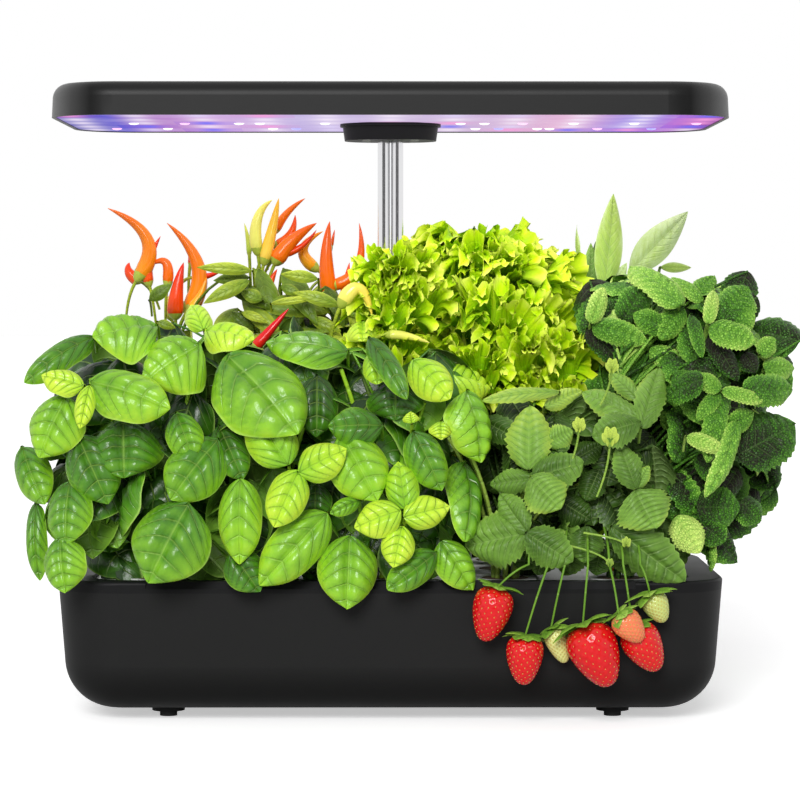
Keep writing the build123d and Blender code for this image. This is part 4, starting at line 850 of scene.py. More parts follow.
# Flower buds and set fruitlets on thin stalks: where each is seen (x, z), where its stalk comes
# from (x, z), its size and its tint. Millimetres.
BUDS = (
    (134, 167, 126, 134, 9, 0.97), (115, 175, 108, 150, 7, 1.0), (135, 211, 128, 190, 7, 0.9),
    (144, 104, 118, 112, 5, 0.85), (134, 92, 110, 104, 4, 0.75),
)
for x, z, foot_x, foot_z, size, tint in BUDS:
    head, foot = seen(x, z, -122), seen(foot_x, foot_z, -112)
    stem(strawberry, bend(foot, (head.x, foot.y, (head.z + foot.z) / 2), head, 7), 0.0007, 0.0007, 0.7)
    for turn in np.arange(6) * pi / 3 + x:
        tip = head + Vector((0.6 * cos(turn), -0.5, 0.6 * sin(turn) + 0.7)) * size * 0.0009
        blade(
            strawberry, small_sheet, head, tip, Vector((0, -1, 0.4)), size * 0.0006, tint,
            cup=0.9, bow=1.2, quilt=0.0, crease=0.1,
        )
finish_plant(strawberry, "strawberry_plant", strawberry_skin, "growing_deck", "strawberry_leaves")

# Each fruit: its middle x, y, z, width and length, where its tip points (x, z), how ripe it is,
# the length of its sepals as a share of its width, and where its stalk starts in x. Millimetres.
FRUITS = (
    (59.3, -123, 68.7, 24.5, 33, (-4.2, -16.5), 1.0, 0.50, 88),
    (79.3, -121.5, 41.5, 23, 30, (-0.6, -14.7), 1.0, 0.50, 98),
    (99.5, -119, 50.1, 14.2, 23, (4.7, -11.9), 0.16, 0.60, 106),
    (121.6, -126, 44.8, 31, 40, (8.8, -20), 1.0, 0.62, 118),
    (140.8, -135, 62.4, 18.5, 21.5, (8.8, -10.5), 0.66, 0.45, 128),
    (150.6, -122, 48.6, 24.5, 31, (8.9, -15.3), 0.96, 0.50, 136),
    (157.7, -122, 72.6, 16.5, 19.5, (4.7, -9.4), 0.08, 0.75, 146),
)
FRUIT_RAMP = (
    (0.0, (0.50, 0.60, 0.16)), (0.2, (0.76, 0.74, 0.28)), (0.5, (0.92, 0.36, 0.14)),
    (0.8, (0.74, 0.022, 0.012)), (1.0, (0.66, 0.004, 0.008)),
)
SEPAL_RAMP = (
    (0.0, (0.03, 0.09, 0.01)), (0.4, (0.09, 0.22, 0.015)), (0.7, (0.22, 0.42, 0.04)),
    (1.0, (0.50, 0.68, 0.14)),
)
SEEDS = 170
SEPALS = 9
PIT_DEPTH = 0.00085
SKIN_RINGS, SKIN_SECTORS = 56, 72
GOLDEN_TURN = pi * (3 - 5**0.5)
# Sepals end before the tank's front wall.
SEPAL_LIMIT_Y = -0.1135


def fruit_frame(axis):
    """Two directions across an axis."""
    first = axis.cross(Vector((0, 1, 0.2))).normalized()
    return np.array(first), np.array(axis.cross(first).normalized())


def fruit_point(top, axis, length, width, angle, turn):
    """Points on the skin: angle runs from the stalk end to the tip."""
    first, second = fruit_frame(axis)
    radius = width / 2 * np.sin(angle) ** 0.72 * (1.22 - 0.30 * (1 - np.cos(angle)))
    forward = length * (1 - np.cos(angle)) / 2
    round_it = np.cos(turn)[:, None] * first + np.sin(turn)[:, None] * second
    return np.array(top) + forward[:, None] * np.array(axis) + radius[:, None] * round_it


def add_seed(seeds, place, middle, axis, tint):
    """One pointed seed that lies in its pit, its long way toward the fruit's tip."""
    out = place - middle
    out /= np.linalg.norm(out)
    drop = np.array(axis) - out * np.dot(axis, out)
    drop /= np.linalg.norm(drop)
    across = np.cross(out, drop)
    ways = (drop * 0.0007, across * 0.0004, -drop * 0.0006, -across * 0.0004, out * 0.0003, -out * 0.0003)
    sides = [(a, (a + 1) % 4, 4) for a in range(4)] + [((a + 1) % 4, a, 5) for a in range(4)]
    add_patch(seeds, place - out * 0.0005 + np.array(ways), np.array(sides), np.full((6, 2), 0.5), tint)


def add_fruit(skin, seeds, top, axis, length, width, ripeness):
    """One fruit: a skin with a pit for every seed, and the seeds in their pits."""
    angle = np.repeat(np.linspace(0.02, pi - 0.02, SKIN_RINGS), SKIN_SECTORS)
    turn = np.tile(np.linspace(0, 2 * pi, SKIN_SECTORS, endpoint=False), SKIN_RINGS)
    points = fruit_point(top, axis, length, width, angle, turn)
    # The seeds run round the fruit on a spiral, evenly spread from the sepals to the tip.
    number = np.arange(SEEDS)
    seed_angle = np.arccos(1 - 2 * (number + 0.5) / SEEDS)
    seed_angle = np.where(seed_angle < 0.4, 0.4 + seed_angle * 0.3, seed_angle)
    places = fruit_point(top, axis, length, width, seed_angle, number * GOLDEN_TURN)
    middle = np.array(top + axis * length * 0.45)
    gap = np.linalg.norm(points[:, None] - places[None], axis=2).min(axis=1)
    spacing = (pi * width * length / SEEDS) ** 0.5
    pit = PIT_DEPTH * np.exp(-((gap / (0.34 * spacing)) ** 2))
    inward = middle - points
    inward /= np.linalg.norm(inward, axis=1)[:, None]
    points = points + inward * pit[:, None]
    pale_neck = 0.30 * np.exp(-((angle / 0.55) ** 2)) * (ripeness > 0.3)
    pale_pits = 0.06 * np.exp(-((gap / 0.0012) ** 2))
    ripe = np.clip(ripeness - pale_neck - pale_pits, 0, 1)
    uv = np.column_stack((angle / pi, turn / (2 * pi)))
    add_patch(skin, points, ring_faces(SKIN_RINGS, SKIN_SECTORS), uv, ripe)
    for place in places:
        add_seed(seeds, place, middle, axis, 0.5 + 0.3 * ripeness)


def lance(along):
    """Half-width of a narrow pointed leaf."""
    return np.sin(pi * along**0.8) ** 0.85


def ripening_skin(name, stops, gloss, mottle_scale, lump_scale, lumps, depth):
    """Glossy skin that turns from green to red, as ripe as the tint says."""
    material, tree, shader = new_material(name, stops[-1][1], 0.16)
    tint = add_node(tree, "Attribute", attribute_name="tint").outputs["Fac"]
    colour = ramp(tree, mottle(tree, tint, mottle_scale, 0.05), stops)
    tree.links.new(colour, shader.inputs["Base Color"])
    shader.inputs["Specular IOR Level"].default_value = gloss
    bump(tree, shader, noise(tree, lump_scale), lumps, depth)
    return material


fruits, seeds, sepals = new_plant(), new_plant(), new_plant()
sepal_sheet = blank(10, 6)
for x, y, z, width, length, (tip_x, tip_z), ripeness, sepal_share, start_x in FRUITS:
    axis = Vector((tip_x, 0, tip_z)).normalized()
    width, length = width / 1000, length / 1000
    top = Vector((x, y, z)) / 1000 - axis * length / 2
    add_fruit(fruits, seeds, top, axis, length, width, ripeness)
    first, second = (Vector(v) for v in fruit_frame(axis))
    neck = top + axis * 0.0004
    for number in range(SEPALS):
        turn = number * 2 * pi / SEPALS + chance.uniform(-0.2, 0.2)
        away = first * cos(turn) + second * sin(turn)
        reach = width * sepal_share * chance.uniform(0.85, 1.15) + 0.003
        start = neck + away * 0.0008 - axis * 0.0006
        end = neck + away * reach + axis * chance.uniform(-0.002, 0.006)
        end.y = min(end.y, SEPAL_LIMIT_Y)
        blade(
            sepals, sepal_sheet, start, end, -axis, 0.0082 + 0.08 * width, chance.uniform(0.45, 0.8),
            outline=lance, cup=0.5, bow=0.9, quilt=0.0, crease=0.1, veins=3.0,
        )
    foot = Vector((start_x, -96, 118)) / 1000
    elbow = Vector((start_x * 0.75 + top.x * 250, -120, 98)) / 1000
    path = np.vstack((
        bend(foot, elbow + Vector((0, 0.004, 0.012)), elbow, 7)[:-1],
        bend(elbow, (elbow + top) / 2 + Vector((0, -0.004, 0.004)), top, 9),
    ))
    stem(sepals, path, 0.0008, 0.0006, 0.5, 8)
fruit_skin = ripening_skin("fruit_skin", FRUIT_RAMP, 0.42, 70.0, 300.0, 0.2, 0.0003)
seed_skin = moulded("fruit_seed", (0.62, 0.46, 0.10), 0.4, 0.5)
sepal_skin = leaf_material(
    "sepal", SEPAL_RAMP, vein=(0.40, 0.60, 0.15), vein_share=0.3, veins=3.0, slant=0.4, shine=0.5,
)
finish_plant(fruits, "strawberry_fruits", fruit_skin, "growing_deck", "strawberries")
finish_plant(seeds, "strawberry_seeds", seed_skin, "growing_deck")
finish_plant(sepals, "strawberry_sepals", sepal_skin, "growing_deck", "berry_stalks")

# ---------------------------------------------------------------- Mint
# Mint in the front right corner basket: rough toothed leaves in pairs, dark and wrinkled, some
# nearly black, and a few fresh lime tips on square stems.

# Rows as in BASIL_LEAVES.
MINT_LEAVES = (
    (202, 241, 219, 262, 24, 1, 0.42), (193, 240, 198, 260, 9, 0, 0.85),
    (195, 238, 222, 228, 17, 0, 0.58), (225, 221, 235, 231, 12, 2, 0.6),
    (227, 212, 247, 213, 14, 1, 0.62), (214, 199, 247, 199, 20, 0, 0.44),
    (202, 199, 228, 192, 9, 0, 0.72), (211, 160, 248, 178, 35, 1, 0.24),
    (202, 198, 193, 155, 15, 1, 0.48), (181, 171, 204, 162, 10, 0, 0.85),
    (213, 180, 191, 134, 13, 0, 0.62), (152, 165, 186, 190, 26, 2, 0.08),
    (189, 207, 169, 193, 17, 1, 0.32), (158, 224, 185, 210, 15, 1, 0.66),
    (120, 237, 143, 213, 15, 2, 0.12), (147, 224, 159, 212, 13, 2, 0.06),
    (123, 239, 156, 229, 16, 1, 0.52), (122, 240, 130, 262, 12, 1, 0.82),
    (141, 241, 156, 264, 20, 2, 0.32), (175, 251, 147, 274, 20, 1, 0.66),
    (178, 251, 164, 230, 16, 1, 0.5), (189, 253, 172, 268, 10, 2, 0.62),
    (195, 232, 211, 205, 14, 2, 0.05), (216, 222, 223, 210, 12, 2, 0.05),
    (184, 245, 189, 219, 9, 1, 0.36), (187, 128, 214, 127, 26, 2, 0.28),
    (175, 122, 189, 100, 20, 1, 0.97), (167, 151, 187, 127, 23, 2, 0.32),
    (153, 163, 178, 159, 13, 2, 0.3), (189, 160, 201, 143, 15, 2, 0.26),
    (158, 114, 174, 99, 12, 2, 0.62), (201, 199, 186, 209, 11, 1, 0.62),
    (201, 198, 187, 181, 10, 1, 0.5), (207, 236, 189, 224, 12, 3, 0.1),
    (183, 254, 198, 269, 13, 3, 0.5), (213, 151, 198, 132, 18, 3, 0.1),
    (168, 236, 148, 246, 15, 1, 0.45), (208, 236, 222, 246, 13, 1, 0.5),
    (160, 190, 148, 176, 16, 2, 0.2), (172, 208, 190, 200, 16, 2, 0.45),
    (226, 176, 236, 160, 15, 1, 0.35), (206, 176, 222, 186, 14, 1, 0.5),
    (178, 190, 166, 176, 15, 1, 0.55), (214, 132, 226, 118, 18, 2, 0.3),
    (190, 118, 204, 106, 18, 2, 0.25),
)
MINT_RAMP = (
    (0.0, (0.018, 0.014, 0.010)), (0.15, (0.020, 0.055, 0.008)), (0.36, (0.075, 0.25, 0.016)),
    (0.62, (0.27, 0.56, 0.065)), (1.0, (0.68, 0.90, 0.20)),
)
mint_skin = leaf_material(
    "mint_leaf", MINT_RAMP, vein=(0.24, 0.46, 0.12), vein_share=0.25, veins=7.0, slant=0.35,
    shine=0.42, pebble=2.6, pebble_scale=620.0, painted_cell_light=0.8, rim=0.15, gloss=0.26,
)
mint = new_plant()
mint_sheet = blank(26, 10)
MINT_ROOT = basket(2, -1)
# The level float's place: no leaf lies low over it.
FLOAT_X, FLOAT_ROOM, FLOAT_TOP = 0.142, 0.035, 0.135
mint_options = {
    "cup": 0.75, "bow": 0.9, "veins": 7.0, "quilt": 0.07, "crease": 0.16, "wave": 0.045,
    "teeth": 0.18, "tooth_count": 11.0, "slant": 0.35, "contrast": 1.8,
}


def clear_of_float(place):
    """Whether a leaf leaves the level float room to rise."""
    return place.z > FLOAT_TOP or (place.x - FLOAT_X) ** 2 + place.y**2 > FLOAT_ROOM**2


place_leaves(mint, toothed_sheet, MINT_LEAVES, "mint_leaves", mint_options, petiole=0.0008)
cover(
    mint, "mint_leaves", (MINT_ROOT,), mint_sheet, 245, mint_options,
    sink=(0.010, 0.024), size=(0.028, 0.046), ratio=(0.62, 0.8), tint=(0.22, 0.86),
    front_sink=(0.026, 0.055), keep=clear_of_float,
)
stand_stems(
    mint, MINT_ROOT, [0.13] * 7, ring=0.007, reach=(0.035, 0.022), lean=(0.035, 0.024), knee=0.07,
    radii=(0.0017, 0.0011), tint=0.22, sides=4,
)
finish_plant(mint, "mint", mint_skin, "growing_deck", "mint_leaves")

# ---------------------------------------------------------------- Lettuce
# A head of green leaf lettuce beside the pole: fans that stand out from the heart, tightly
# ruffled to a lime edge, with dark hollows between them, deepened with painted shade.

# The head's middle, its reach in x, y and z, its basket, and the lowest place for a leaf's tip.
HEART = Vector((0.057, 0.050, 0.150))
HEAD = Vector((0.076, 0.071, 0.158))
LETTUCE_ROOT = basket(1, 1)
LOWEST_TIP = 0.165
# Half the angle that a leaf fans out over.
HALF_FAN = radians(58)
LETTUCE_RAMP = (
    (0.0, (0.030, 0.10, 0.001)), (0.25, (0.17, 0.42, 0.003)), (0.5, (0.44, 0.73, 0.006)),
    (0.75, (0.68, 0.90, 0.014)), (1.0, (0.88, 0.99, 0.14)),
)


def frill(plant, sheet, base, tip, facing, width, tint, ruffle=0.0052, folds=50):
    """One fan-shaped leaf whose edge is too long for it, so that it folds into ruffles."""
    along, across, faces = sheet
    along = along**0.6
    length, directions = leaf_frame(base, tip, facing)
    # Its outline: a fan that is cut into lobes and scallops toward its edge.
    start = chance.uniform(0, 2 * pi, 8)
    fan = across * HALF_FAN
    lobes = 0.05 * np.sin(across * 6 + start[3]) + 0.04 * np.sin(across * 19 + start[4])
    scallops = np.abs(np.sin(across * folds + start[5])) ** 0.7
    jags = 0.065 * scallops + 0.020 * np.abs(np.sin(across * folds * 1.9 + start[6]))
    reach = along * (1 - 0.16 * np.abs(across) ** 2.2 + (lobes + jags * along**4) * along**3)
    # Its edge swings to and fro in tight folds, broad folds and small ones, and curls outward.
    edge = along**4
    swing = across * folds + 2.2 * np.sin(across * 9 + start[7])
    broad = np.sin(across * folds * 0.32 + 1.3 * np.sin(across * 5) + start[1])
    wave = 0.55 * np.sin(swing + start[0]) + 0.8 * broad
    small = np.sin(across * folds * 2.6 + start[2] + along * 11)
    curl = 0.012 * along**3.5 * (1 + 0.6 * np.sin(across * 11 + start[3]))
    forward = length * reach * np.cos(fan * along**0.5) - 0.4 * curl * along
    sideways = width * 0.62 * reach * np.sin(fan) + 0.5 * ruffle * edge * np.cos(swing + start[0])
    height = ruffle * edge * wave + 0.0012 * along**3 * small + curl
    points = lay_out(base, directions, (forward, sideways, height))
    beside_pole = points[:, 0].mean() < 0.006 and points[:, 1].mean() > -0.004
    if in_pole(points) and beside_pole:
        return
    # Painted shade toward the leaf's base in the heart, and painted light on the ruffles' crests; the lime
    # edge is the leaf's own colour.
    shade = tint * (0.22 + 0.78 * along**1.8) + 0.20 * along**14
    colour = np.clip(shade + (0.08 * small + 0.10 * wave * edge) * along, 0, 1)
    add_patch(plant, points, faces, blade_map(along, across), colour)


lettuce_skin = leaf_material(
    "lettuce_leaf", LETTUCE_RAMP, vein=(0.60, 0.78, 0.10), vein_share=0.12, veins=7.0, slant=0.5,
    shine=0.4, gloss=0.15, groove=0.2, under_share=0.1,
)
frill_sheet = blank(12, 144)
curl_sheet = blank(8, 76)
CURLS = 220
FANS = 62
# Leaves that close the head beside and before the pole: their tips, in millimetres.
POLE_CURLS = (
    (-16, -18, 262), (-18, -14, 247), (-20, -18, 233), (-13, -16, 276), (-12, -26, 254),
    (-18, -22, 222), (-6, -30, 268), (-8, -34, 246), (-4, -28, 280), (6, -30, 276), (2, -38, 256),
    (-10, -30, 234),
)
BROAD_LEAVES = ((98, -20, 242), (114, -12, 232), (80, -26, 230), (60, -28, 222))
POLE_FANS = (
    (-8, -30, 240), (0, -36, 266), (8, -36, 243), (-5, -22, 274), (16, -30, 272), (4, -24, 287),
    (24, -28, 236), (-4, -16, 292), (14, -18, 294), (-7, -36, 224), (6, -42, 226), (-9, -12, 281),
    (30, -30, 215), (46, -32, 208), (62, -32, 212), (76, -30, 205), (90, -28, 214), (104, -20, 208),
    (54, -34, 232), (84, -30, 236), (102, -20, 240),
)
# Each group: its tips, the way it faces, its length and width, its range of tint, its sheet and
# its ruffles.
CLOSING_LEAVES = (
    (POLE_CURLS, (-0.2, -0.9, 0), 0.024, 0.032, (0.6, 0.86), curl_sheet, {"ruffle": 0.0028, "folds": 24}),
    (BROAD_LEAVES, (0.2, -0.9, 0), 0.06, 0.075, (0.6, 0.8), frill_sheet, {"ruffle": 0.003}),
    (POLE_FANS, (-0.15, -0.95, 0), 0.045, 0.045, (0.6, 0.9), frill_sheet, {}),
)


def head_reach(way):
    """How far the head reaches in a direction: a rounded box."""
    return 1 / sum(abs(w) ** 3 for w in way) ** (1 / 3)


def painted_hollows(place):
    """Painted shade and light on the head at a place: dark hollows between lit leaves."""
    return 0.20 * sin(place.x * 82 + 0.6) * sin(place.z * 98 + place.y * 40 + 2.4)


def stand_leaf(plant, sheet, tip, outward, length, width, tint, **shape):
    """One leaf that stands up in the head and leans outward, seen from its outer side."""
    lean = Vector((0, 0, 1)) * 0.8 + outward * 0.5 + Vector(chance.normal(0, 0.12, 3))
    facing = outward + Vector((0, -0.15, 0.35)) + Vector(chance.normal(0, 0.15, 3))
    frill(plant, sheet, tip - lean.normalized() * length, tip, facing, width, tint, **shape)


def place_in_head(number, total, inner):
    """A place on the head's outside, and the level direction it lies in."""
    rise = 1 - 1.25 * (number + 0.5) / total
    turn = number * GOLDEN_TURN
    level = (1 - rise * rise) ** 0.5
    way = Vector((level * cos(turn), level * sin(turn), rise))
    tip = HEART + Vector([w * h for w, h in zip(way, HEAD)]) * head_reach(way) * inner
    tip.z = max(tip.z - 0.10 * (tip.x - HEART.x), LOWEST_TIP)
    return tip, Vector((way.x, way.y, 0)).normalized()


for half, name in enumerate(("lettuce_curls", "lettuce_frills")):
    curls = new_plant()
    for number in range(half, CURLS, 2):
        tip, outward = place_in_head(number, CURLS, chance.uniform(0.88, 1.0))
        stand_leaf(
            curls, curl_sheet, tip, outward, chance.uniform(0.020, 0.034), chance.uniform(0.034, 0.052),
            chance.uniform(0.50, 0.82) + painted_hollows(tip), ruffle=0.0031, folds=30,
        )
    finish_plant(curls, name, lettuce_skin, "growing_deck")
lettuce_inner, lettuce_outer = new_plant(), new_plant()
for half, lettuce in enumerate((lettuce_inner, lettuce_outer)):
    for number in range(half, FANS, 2):
        tip, outward = place_in_head(number, FANS, 0.97 if number % 4 else 0.80)
        stand_leaf(
            lettuce, frill_sheet, tip, outward, chance.uniform(0.06, 0.085), chance.uniform(0.085, 0.115),
            chance.uniform(0.58, 0.88) + painted_hollows(tip), ruffle=0.0042,
        )
for places, outward, length, width, tint, sheet, shape in CLOSING_LEAVES:
    for place in places:
        tip = Vector(place) / 1000
        colour = chance.uniform(*tint)
        stand_leaf(lettuce_outer, sheet, tip, Vector(outward), length, width, colour, **shape)
stump = bend((*LETTUCE_ROOT, STEM_FOOT), (0.065, 0.062, 0.11), HEART, 6)
stem(lettuce_outer, stump, 0.006, 0.008, 0.6, 10)
finish_plant(lettuce_inner, "lettuce_inner", lettuce_skin, "growing_deck")
finish_plant(lettuce_outer, "lettuce_outer", lettuce_skin, "growing_deck", "lettuce_leaves")

# ---------------------------------------------------------------- Chilli
# An ornamental chilli in the back left baskets: narrow olive leaves, and upright pods on top
# that ripen from green through yellow and orange to red, each on a green stalk with a cap.

# Rows as in BASIL_LEAVES.
CHILLI_LEAVES = (
    (-84, 272, -118, 274, 8, 0, 0.5), (-86, 268, -108, 266, 9, 1, 0.3),
    (-86, 266, -114, 252, 10, 0, 0.42), (-44, 267, -67, 270, 8, 0, 0.5),
    (-67, 263, -54, 257, 7, 1, 0.3), (-73, 252, -45, 255, 5, 0, 0.6),
    (-31, 251, -60, 259, 9, 0, 0.45), (-55, 239, -64, 254, 16, 2, 0.15),
    (-91, 247, -74, 240, 6, 1, 0.5), (-147, 254, -133, 264, 9, 1, 0.25),
    (-142, 241, -131, 237, 6, 1, 0.4), (-83, 236, -97, 247, 11, 2, 0.15),
    (-49, 243, -30, 235, 8, 1, 0.4), (-28, 254, -21, 243, 9, 2, 0.3),
    (-78, 254, -92, 260, 9, 1, 0.35),
)
# Each pod: where its foot, its middle and its tip are seen (x, z three times), its width, its
# layer of depth and how ripe it is. Millimetres.
PODS = (
    (-154, 267, -148, 291, -172, 310, 9, 0, 0.62), (-153, 266, -159, 271, -159, 277, 7, 1, 0.85),
    (-147, 264, -147, 277, -140, 293, 6, 0, 0.85), (-136, 263, -137, 277, -147, 275, 6, 0, 0.7),
    (-131, 244, -130, 260, -126, 277, 9, 0, 0.88), (-124, 247, -117, 274, -136, 301, 10, 1, 0.62),
    (-119, 268, -111, 269, -103, 272, 4, 1, 0.92), (-122, 276, -122, 283, -124, 291, 3, 2, 0.9),
    (-122, 249, -116, 257, -112, 268, 5, 0, 0.5), (-134, 243, -136, 249, -135, 257, 4, 1, 0.2),
    (-86, 282, -87, 292, -89, 301, 3, 1, 0.08), (-81, 283, -81, 303, -72, 315, 7, 0, 0.2),
    (-77, 277, -72, 297, -68, 316, 7, 0, 0.38), (-70, 296, -63, 307, -52, 316, 5, 1, 0.66),
    (-70, 287, -61, 294, -58, 306, 6, 1, 0.75), (-70, 277, -60, 290, -45, 301, 9, 0, 0.7),
    (-65, 282, -54, 287, -45, 297, 4, 0, 0.88), (-75, 258, -73, 265, -69, 273, 5, 0, 0.82),
    (-83, 225, -73, 236, -62, 249, 6, -4, 1), (-94, 224, -93, 227, -91, 229, 5, -4, 1),
    (-45, 273, -53, 285, -41, 296, 7, 1, 0.52), (-37, 257, -39, 280, -37, 302, 9, 0, 0.72),
    (-36, 263, -20, 274, -19, 301, 7, 0, 0.74), (-28, 257, -27, 265, -25, 277, 5, 0, 0.78),
    (-36, 287, -35, 292, -34, 297, 2, 2, 0.8), (-30, 251, -19, 261, -11, 244, 8, -8, 0.26),
    (-2, 233, 11, 232, 24, 228, 5, -9, 0.16), (-55, 238, -54, 245, -52, 252, 5, 1, 0.45),
)
CHILLI_RAMP = (
    (0.0, (0.030, 0.060, 0.004)), (0.3, (0.14, 0.24, 0.014)), (0.6, (0.40, 0.50, 0.036)),
    (1.0, (0.68, 0.74, 0.10)),
)
POD_RAMP = (
    (0.0, (0.36, 0.60, 0.05)), (0.2, (0.92, 0.86, 0.16)), (0.42, (0.96, 0.50, 0.02)),
    (0.65, (0.90, 0.17, 0.004)), (0.88, (0.82, 0.05, 0.003)), (1.0, (0.60, 0.004, 0.010)),
)
chilli_skin = leaf_material(
    "chilli_leaf", CHILLI_RAMP, vein=(0.34, 0.46, 0.10), vein_share=0.3, veins=6.0, slant=0.4,
    shine=0.36,
)
chilli = new_plant()
lance_sheet = blank(22, 8)
CHILLI_ROOTS = (basket(-2, 1), basket(-1, 1))
chilli_options = {
    "outline": lance, "cup": 0.7, "bow": 1.0, "veins": 6.0, "quilt": 0.04, "crease": 0.16,
    "wave": 0.03,
}
place_leaves(chilli, lance_sheet, CHILLI_LEAVES, "chilli_leaves", chilli_options, petiole=0.0008)
cover(
    chilli, "chilli_leaves", CHILLI_ROOTS, lance_sheet, 300, chilli_options,
    sink=(0.012, 0.028), size=(0.030, 0.050), ratio=(0.3, 0.42), tint=(0.1, 0.6), hang=0.7,
    top_sink=(0.028, 0.050), keep=lambda place: place.z < 0.215 or place.x > -0.110,
)
for root in CHILLI_ROOTS:
    stand_stems(
        chilli, root, [0.12] * 4, ring=0.004, reach=(0.024, 0.018), lean=(0, 0), knee=0.07,
        radii=(0.0022, 0.0014), tint=0.6, first=0.3,
    )


def tapering(plant, path, shape, radius, tint, sides=14):
    """A closed body of changing thickness along a path."""
    turn = np.linspace(0, 2 * pi, sides, endpoint=False)
    lumps = 1 + 0.04 * np.sin(3 * turn + radius * 9000)
    thick = radius * shape(np.linspace(0, 1, len(path)))
    points, faces = tube(path, thick[:, None] * lumps[None], sides, (0.1, 0.95, 0.3))
    add_patch(plant, points, faces, np.full((len(points), 2), 0.5), np.repeat(tint, sides))


def pod_shape(t):
    """Thickness of a pod from its cap to its tip."""
    return np.clip(np.minimum((t / 0.14 + 0.3) ** 0.5, 1) * np.clip(1 - t**1.5, 0, 1) ** 0.7, 0.03, 1)


def cap_shape(t):
    """Thickness of the green cap from its stalk to its rim."""
    return 0.30 + 0.70 * t**0.7


# The depth of the first pods and of each layer behind them, in millimetres.
POD_DEPTH, POD_LAYER = 60, 12
POD_STEPS, CAP_STEPS = 16, 5
pods, stalks = new_plant(), new_plant()
for x0, z0, x1, z1, x2, z2, width, layer, ripeness in PODS:
    depth = POD_DEPTH + POD_LAYER * layer
    foot, middle, tip = (seen(x, z, depth) for x, z in ((x0, z0), (x1, z1), (x2, z2)))
    path = bend(foot, middle * 2 - (foot + tip) / 2, tip, POD_STEPS)
    ripe = np.clip(ripeness + 0.10 * (np.linspace(0, 1, POD_STEPS) - 0.5), 0, 1)
    tapering(pods, path, pod_shape, width / 2000 * 1.25, ripe)
    away = Vector(path[0] - path[1]).normalized()
    cap = bend(foot + away * 0.002, foot, path[1], CAP_STEPS)
    tapering(stalks, cap, cap_shape, width / 2000 * 1.15, np.full(CAP_STEPS, 0.7), 12)
    root = foot + away * 0.014 + Vector((0, 0.010, -0.012))
    stem(stalks, bend(root, foot + away * 0.010, foot + away * 0.0005, 7), 0.0009, 0.0012, 0.55)
pod_skin = ripening_skin("pod_skin", POD_RAMP, 0.4, 60.0, 160.0, 0.25, 0.0004)
finish_plant(chilli, "chilli", chilli_skin, "growing_deck", "chilli_leaves")
finish_plant(pods, "chilli_pods", pod_skin, "growing_deck", "chilli_peppers")
finish_plant(stalks, "chilli_stalks", chilli_skin, "growing_deck")

# ---------------------------------------------------------------- Sage
# Sage in the back right basket: tall pale grey-green leaves with a pebbled skin, the largest
# two up under the lamp.

# Rows as in BASIL_LEAVES.
SAGE_LEAVES = (
    (130, 259, 136, 319, 18, 0, 0.8), (146, 271, 181, 308, 21, 1, 0.98),
    (164, 274, 184, 274, 7, 2, 0.85), (122, 259, 122, 289, 11, 0, 0.5),
    (115, 277, 114, 300, 4, 1, 0.85), (134, 259, 144, 277, 9, 0, 0.97),
    (84, 277, 81, 293, 12, 2, 0.1), (90, 280, 87, 294, 4, 1, 0.15),
    (94, 266, 105, 281, 15, 1, 0.2), (103, 263, 119, 277, 13, 2, 0.15),
    (127, 260, 125, 290, 10, 2, 0.1), (108, 250, 100, 276, 13, 2, 0.3),
    (118, 252, 112, 284, 10, 2, 0.45), (140, 254, 160, 276, 11, 2, 0.5),
    (150, 250, 176, 262, 12, 2, 0.4),
)
SAGE_RAMP = (
    (0.0, (0.02, 0.06, 0.01)), (0.35, (0.13, 0.27, 0.05)), (0.6, (0.28, 0.50, 0.09)),
    (0.8, (0.46, 0.68, 0.11)), (1.0, (0.66, 0.84, 0.40)),
)
sage_skin = leaf_material(
    "sage_leaf", SAGE_RAMP, vein=(0.66, 0.80, 0.34), vein_share=0.35, veins=9.0, slant=0.4,
    shine=0.55, pebble=0.5, painted_cell_light=0.25,
)
sage = new_plant()
SAGE_ROOT = basket(2, 1)
sage_options = {
    "outline": lance, "cup": 0.6, "bow": 0.5, "veins": 9.0, "quilt": 0.03, "crease": 0.14,
    "wave": 0.03,
}
place_leaves(
    sage, mint_sheet, SAGE_LEAVES, "sage_leaves", sage_options, petiole=0.001, tip_up=0.05,
)
cover(
    sage, "sage_leaves", (SAGE_ROOT,), mint_sheet, 110, sage_options,
    sink=(0.012, 0.026), size=(0.034, 0.052), ratio=(0.28, 0.36), tint=(0.25, 0.65), hang=-1.2,
    up=0.0, top_sink=(0.075, 0.100), keep=lambda place: place.z < 0.245,
)
stand_stems(
    sage, SAGE_ROOT, [0.11] * 5, ring=0.005, reach=(0.020, 0.018), lean=(0.010, 0.030), knee=0.06,
    radii=(0.0018, 0.0012), tint=0.5,
)
finish_plant(sage, "sage", sage_skin, "growing_deck", "sage_leaves", "plant_stems")

# ---------------------------------------------------------------- Floor, light and camera
# A pale worktop in even soft light, seen from the front at the height of the leaves.

FLOOR_GLOW = 0.50
# How bright the sky is as a light, and how bright where it is seen or mirrored.
SKY_LIGHT, SKY_SEEN = 0.32, 1.0
SUN_POWER, SUN_SOFTNESS, SUN_TURN = 2.7, radians(24), (radians(63), radians(-18), 0)
# The lamp's own light on the leaves: a lit rectangle just under its window.
LAMP_LIGHT_SIZE, LAMP_LIGHT_POWER, LAMP_LIGHT_HEIGHT = (0.40, 0.20), 0.34, 0.3635
# A grey card behind the camera, which only the chrome and the gloss see.
CARD_PLACE, CARD_SIZE = (0, -4.2, 1.2), (4.4, 2.4, 1)
# The camera looks a little down and to the right, through a long lens.
CAMERA_TURN = (radians(90 - 2.045), 0, radians(-0.177))
CAMERA_LENS, CAMERA_SENSOR = 138.6, 36.0

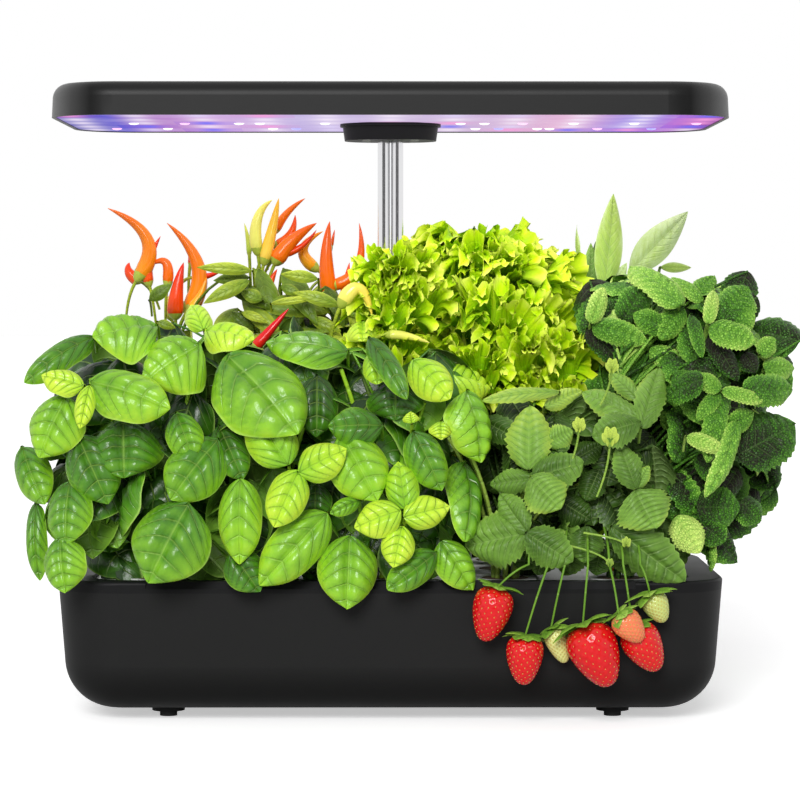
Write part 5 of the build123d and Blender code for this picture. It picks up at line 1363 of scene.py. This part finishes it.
bpy.ops.mesh.primitive_plane_add(size=30, location=(0, 0, 0))
floor = bpy.context.object
floor.name = "worktop"
white, floor_tree, floor_shader = new_material("worktop_white", (0.93, 0.93, 0.93), 0.9)
floor_shader.inputs["Emission Color"].default_value = (1, 1, 1, 1)
sight = add_node(floor_tree, "LightPath").outputs
floor_glow = calc(floor_tree, "MULTIPLY", sight["Is Camera Ray"], FLOOR_GLOW)
floor_tree.links.new(floor_glow, floor_shader.inputs["Emission Strength"])
floor.data.materials.append(white)

world = bpy.data.worlds.new("studio")
bpy.context.scene.world = world
world.use_nodes = True
sky = world.node_tree
background = sky.nodes["Background"]
background.inputs["Color"].default_value = (1, 1, 1, 1)
sight = add_node(sky, "LightPath").outputs
shown = calc(sky, "MAXIMUM", sight["Is Camera Ray"], sight["Is Glossy Ray"])
shown = calc(sky, "MAXIMUM", shown, sight["Is Transmission Ray"])
sky.links.new(spread(sky, shown, SKY_LIGHT, SKY_SEEN), background.inputs["Strength"])

sun = bpy.data.objects.new("soft_sun", bpy.data.lights.new("soft_sun", "SUN"))
bpy.context.collection.objects.link(sun)
sun.data.energy = SUN_POWER
sun.data.angle = SUN_SOFTNESS
sun.rotation_euler = SUN_TURN

down = bpy.data.objects.new("down_light", bpy.data.lights.new("down_light", "AREA"))
bpy.context.collection.objects.link(down)
down.data.shape = "RECTANGLE"
down.data.size, down.data.size_y = LAMP_LIGHT_SIZE
down.data.energy = LAMP_LIGHT_POWER
down.location = (0, 0, LAMP_LIGHT_HEIGHT)
down.visible_glossy = False

bpy.ops.mesh.primitive_plane_add(size=1, location=CARD_PLACE, rotation=(radians(90), 0, 0))
card = bpy.context.object
card.name = "grey_card"
card.scale = CARD_SIZE
card.data.materials.append(new_material("card_grey", (0.34, 0.34, 0.34), 0.9)[0])
card.visible_camera = False
card.visible_diffuse = False
card.visible_shadow = False

camera = bpy.data.objects.new("camera", bpy.data.cameras.new("camera"))
bpy.context.collection.objects.link(camera)
camera.location = EYE
camera.rotation_euler = CAMERA_TURN
camera.data.lens = CAMERA_LENS
camera.data.sensor_width = CAMERA_SENSOR
bpy.context.scene.camera = camera
bpy.context.scene.view_settings.view_transform = "Standard"
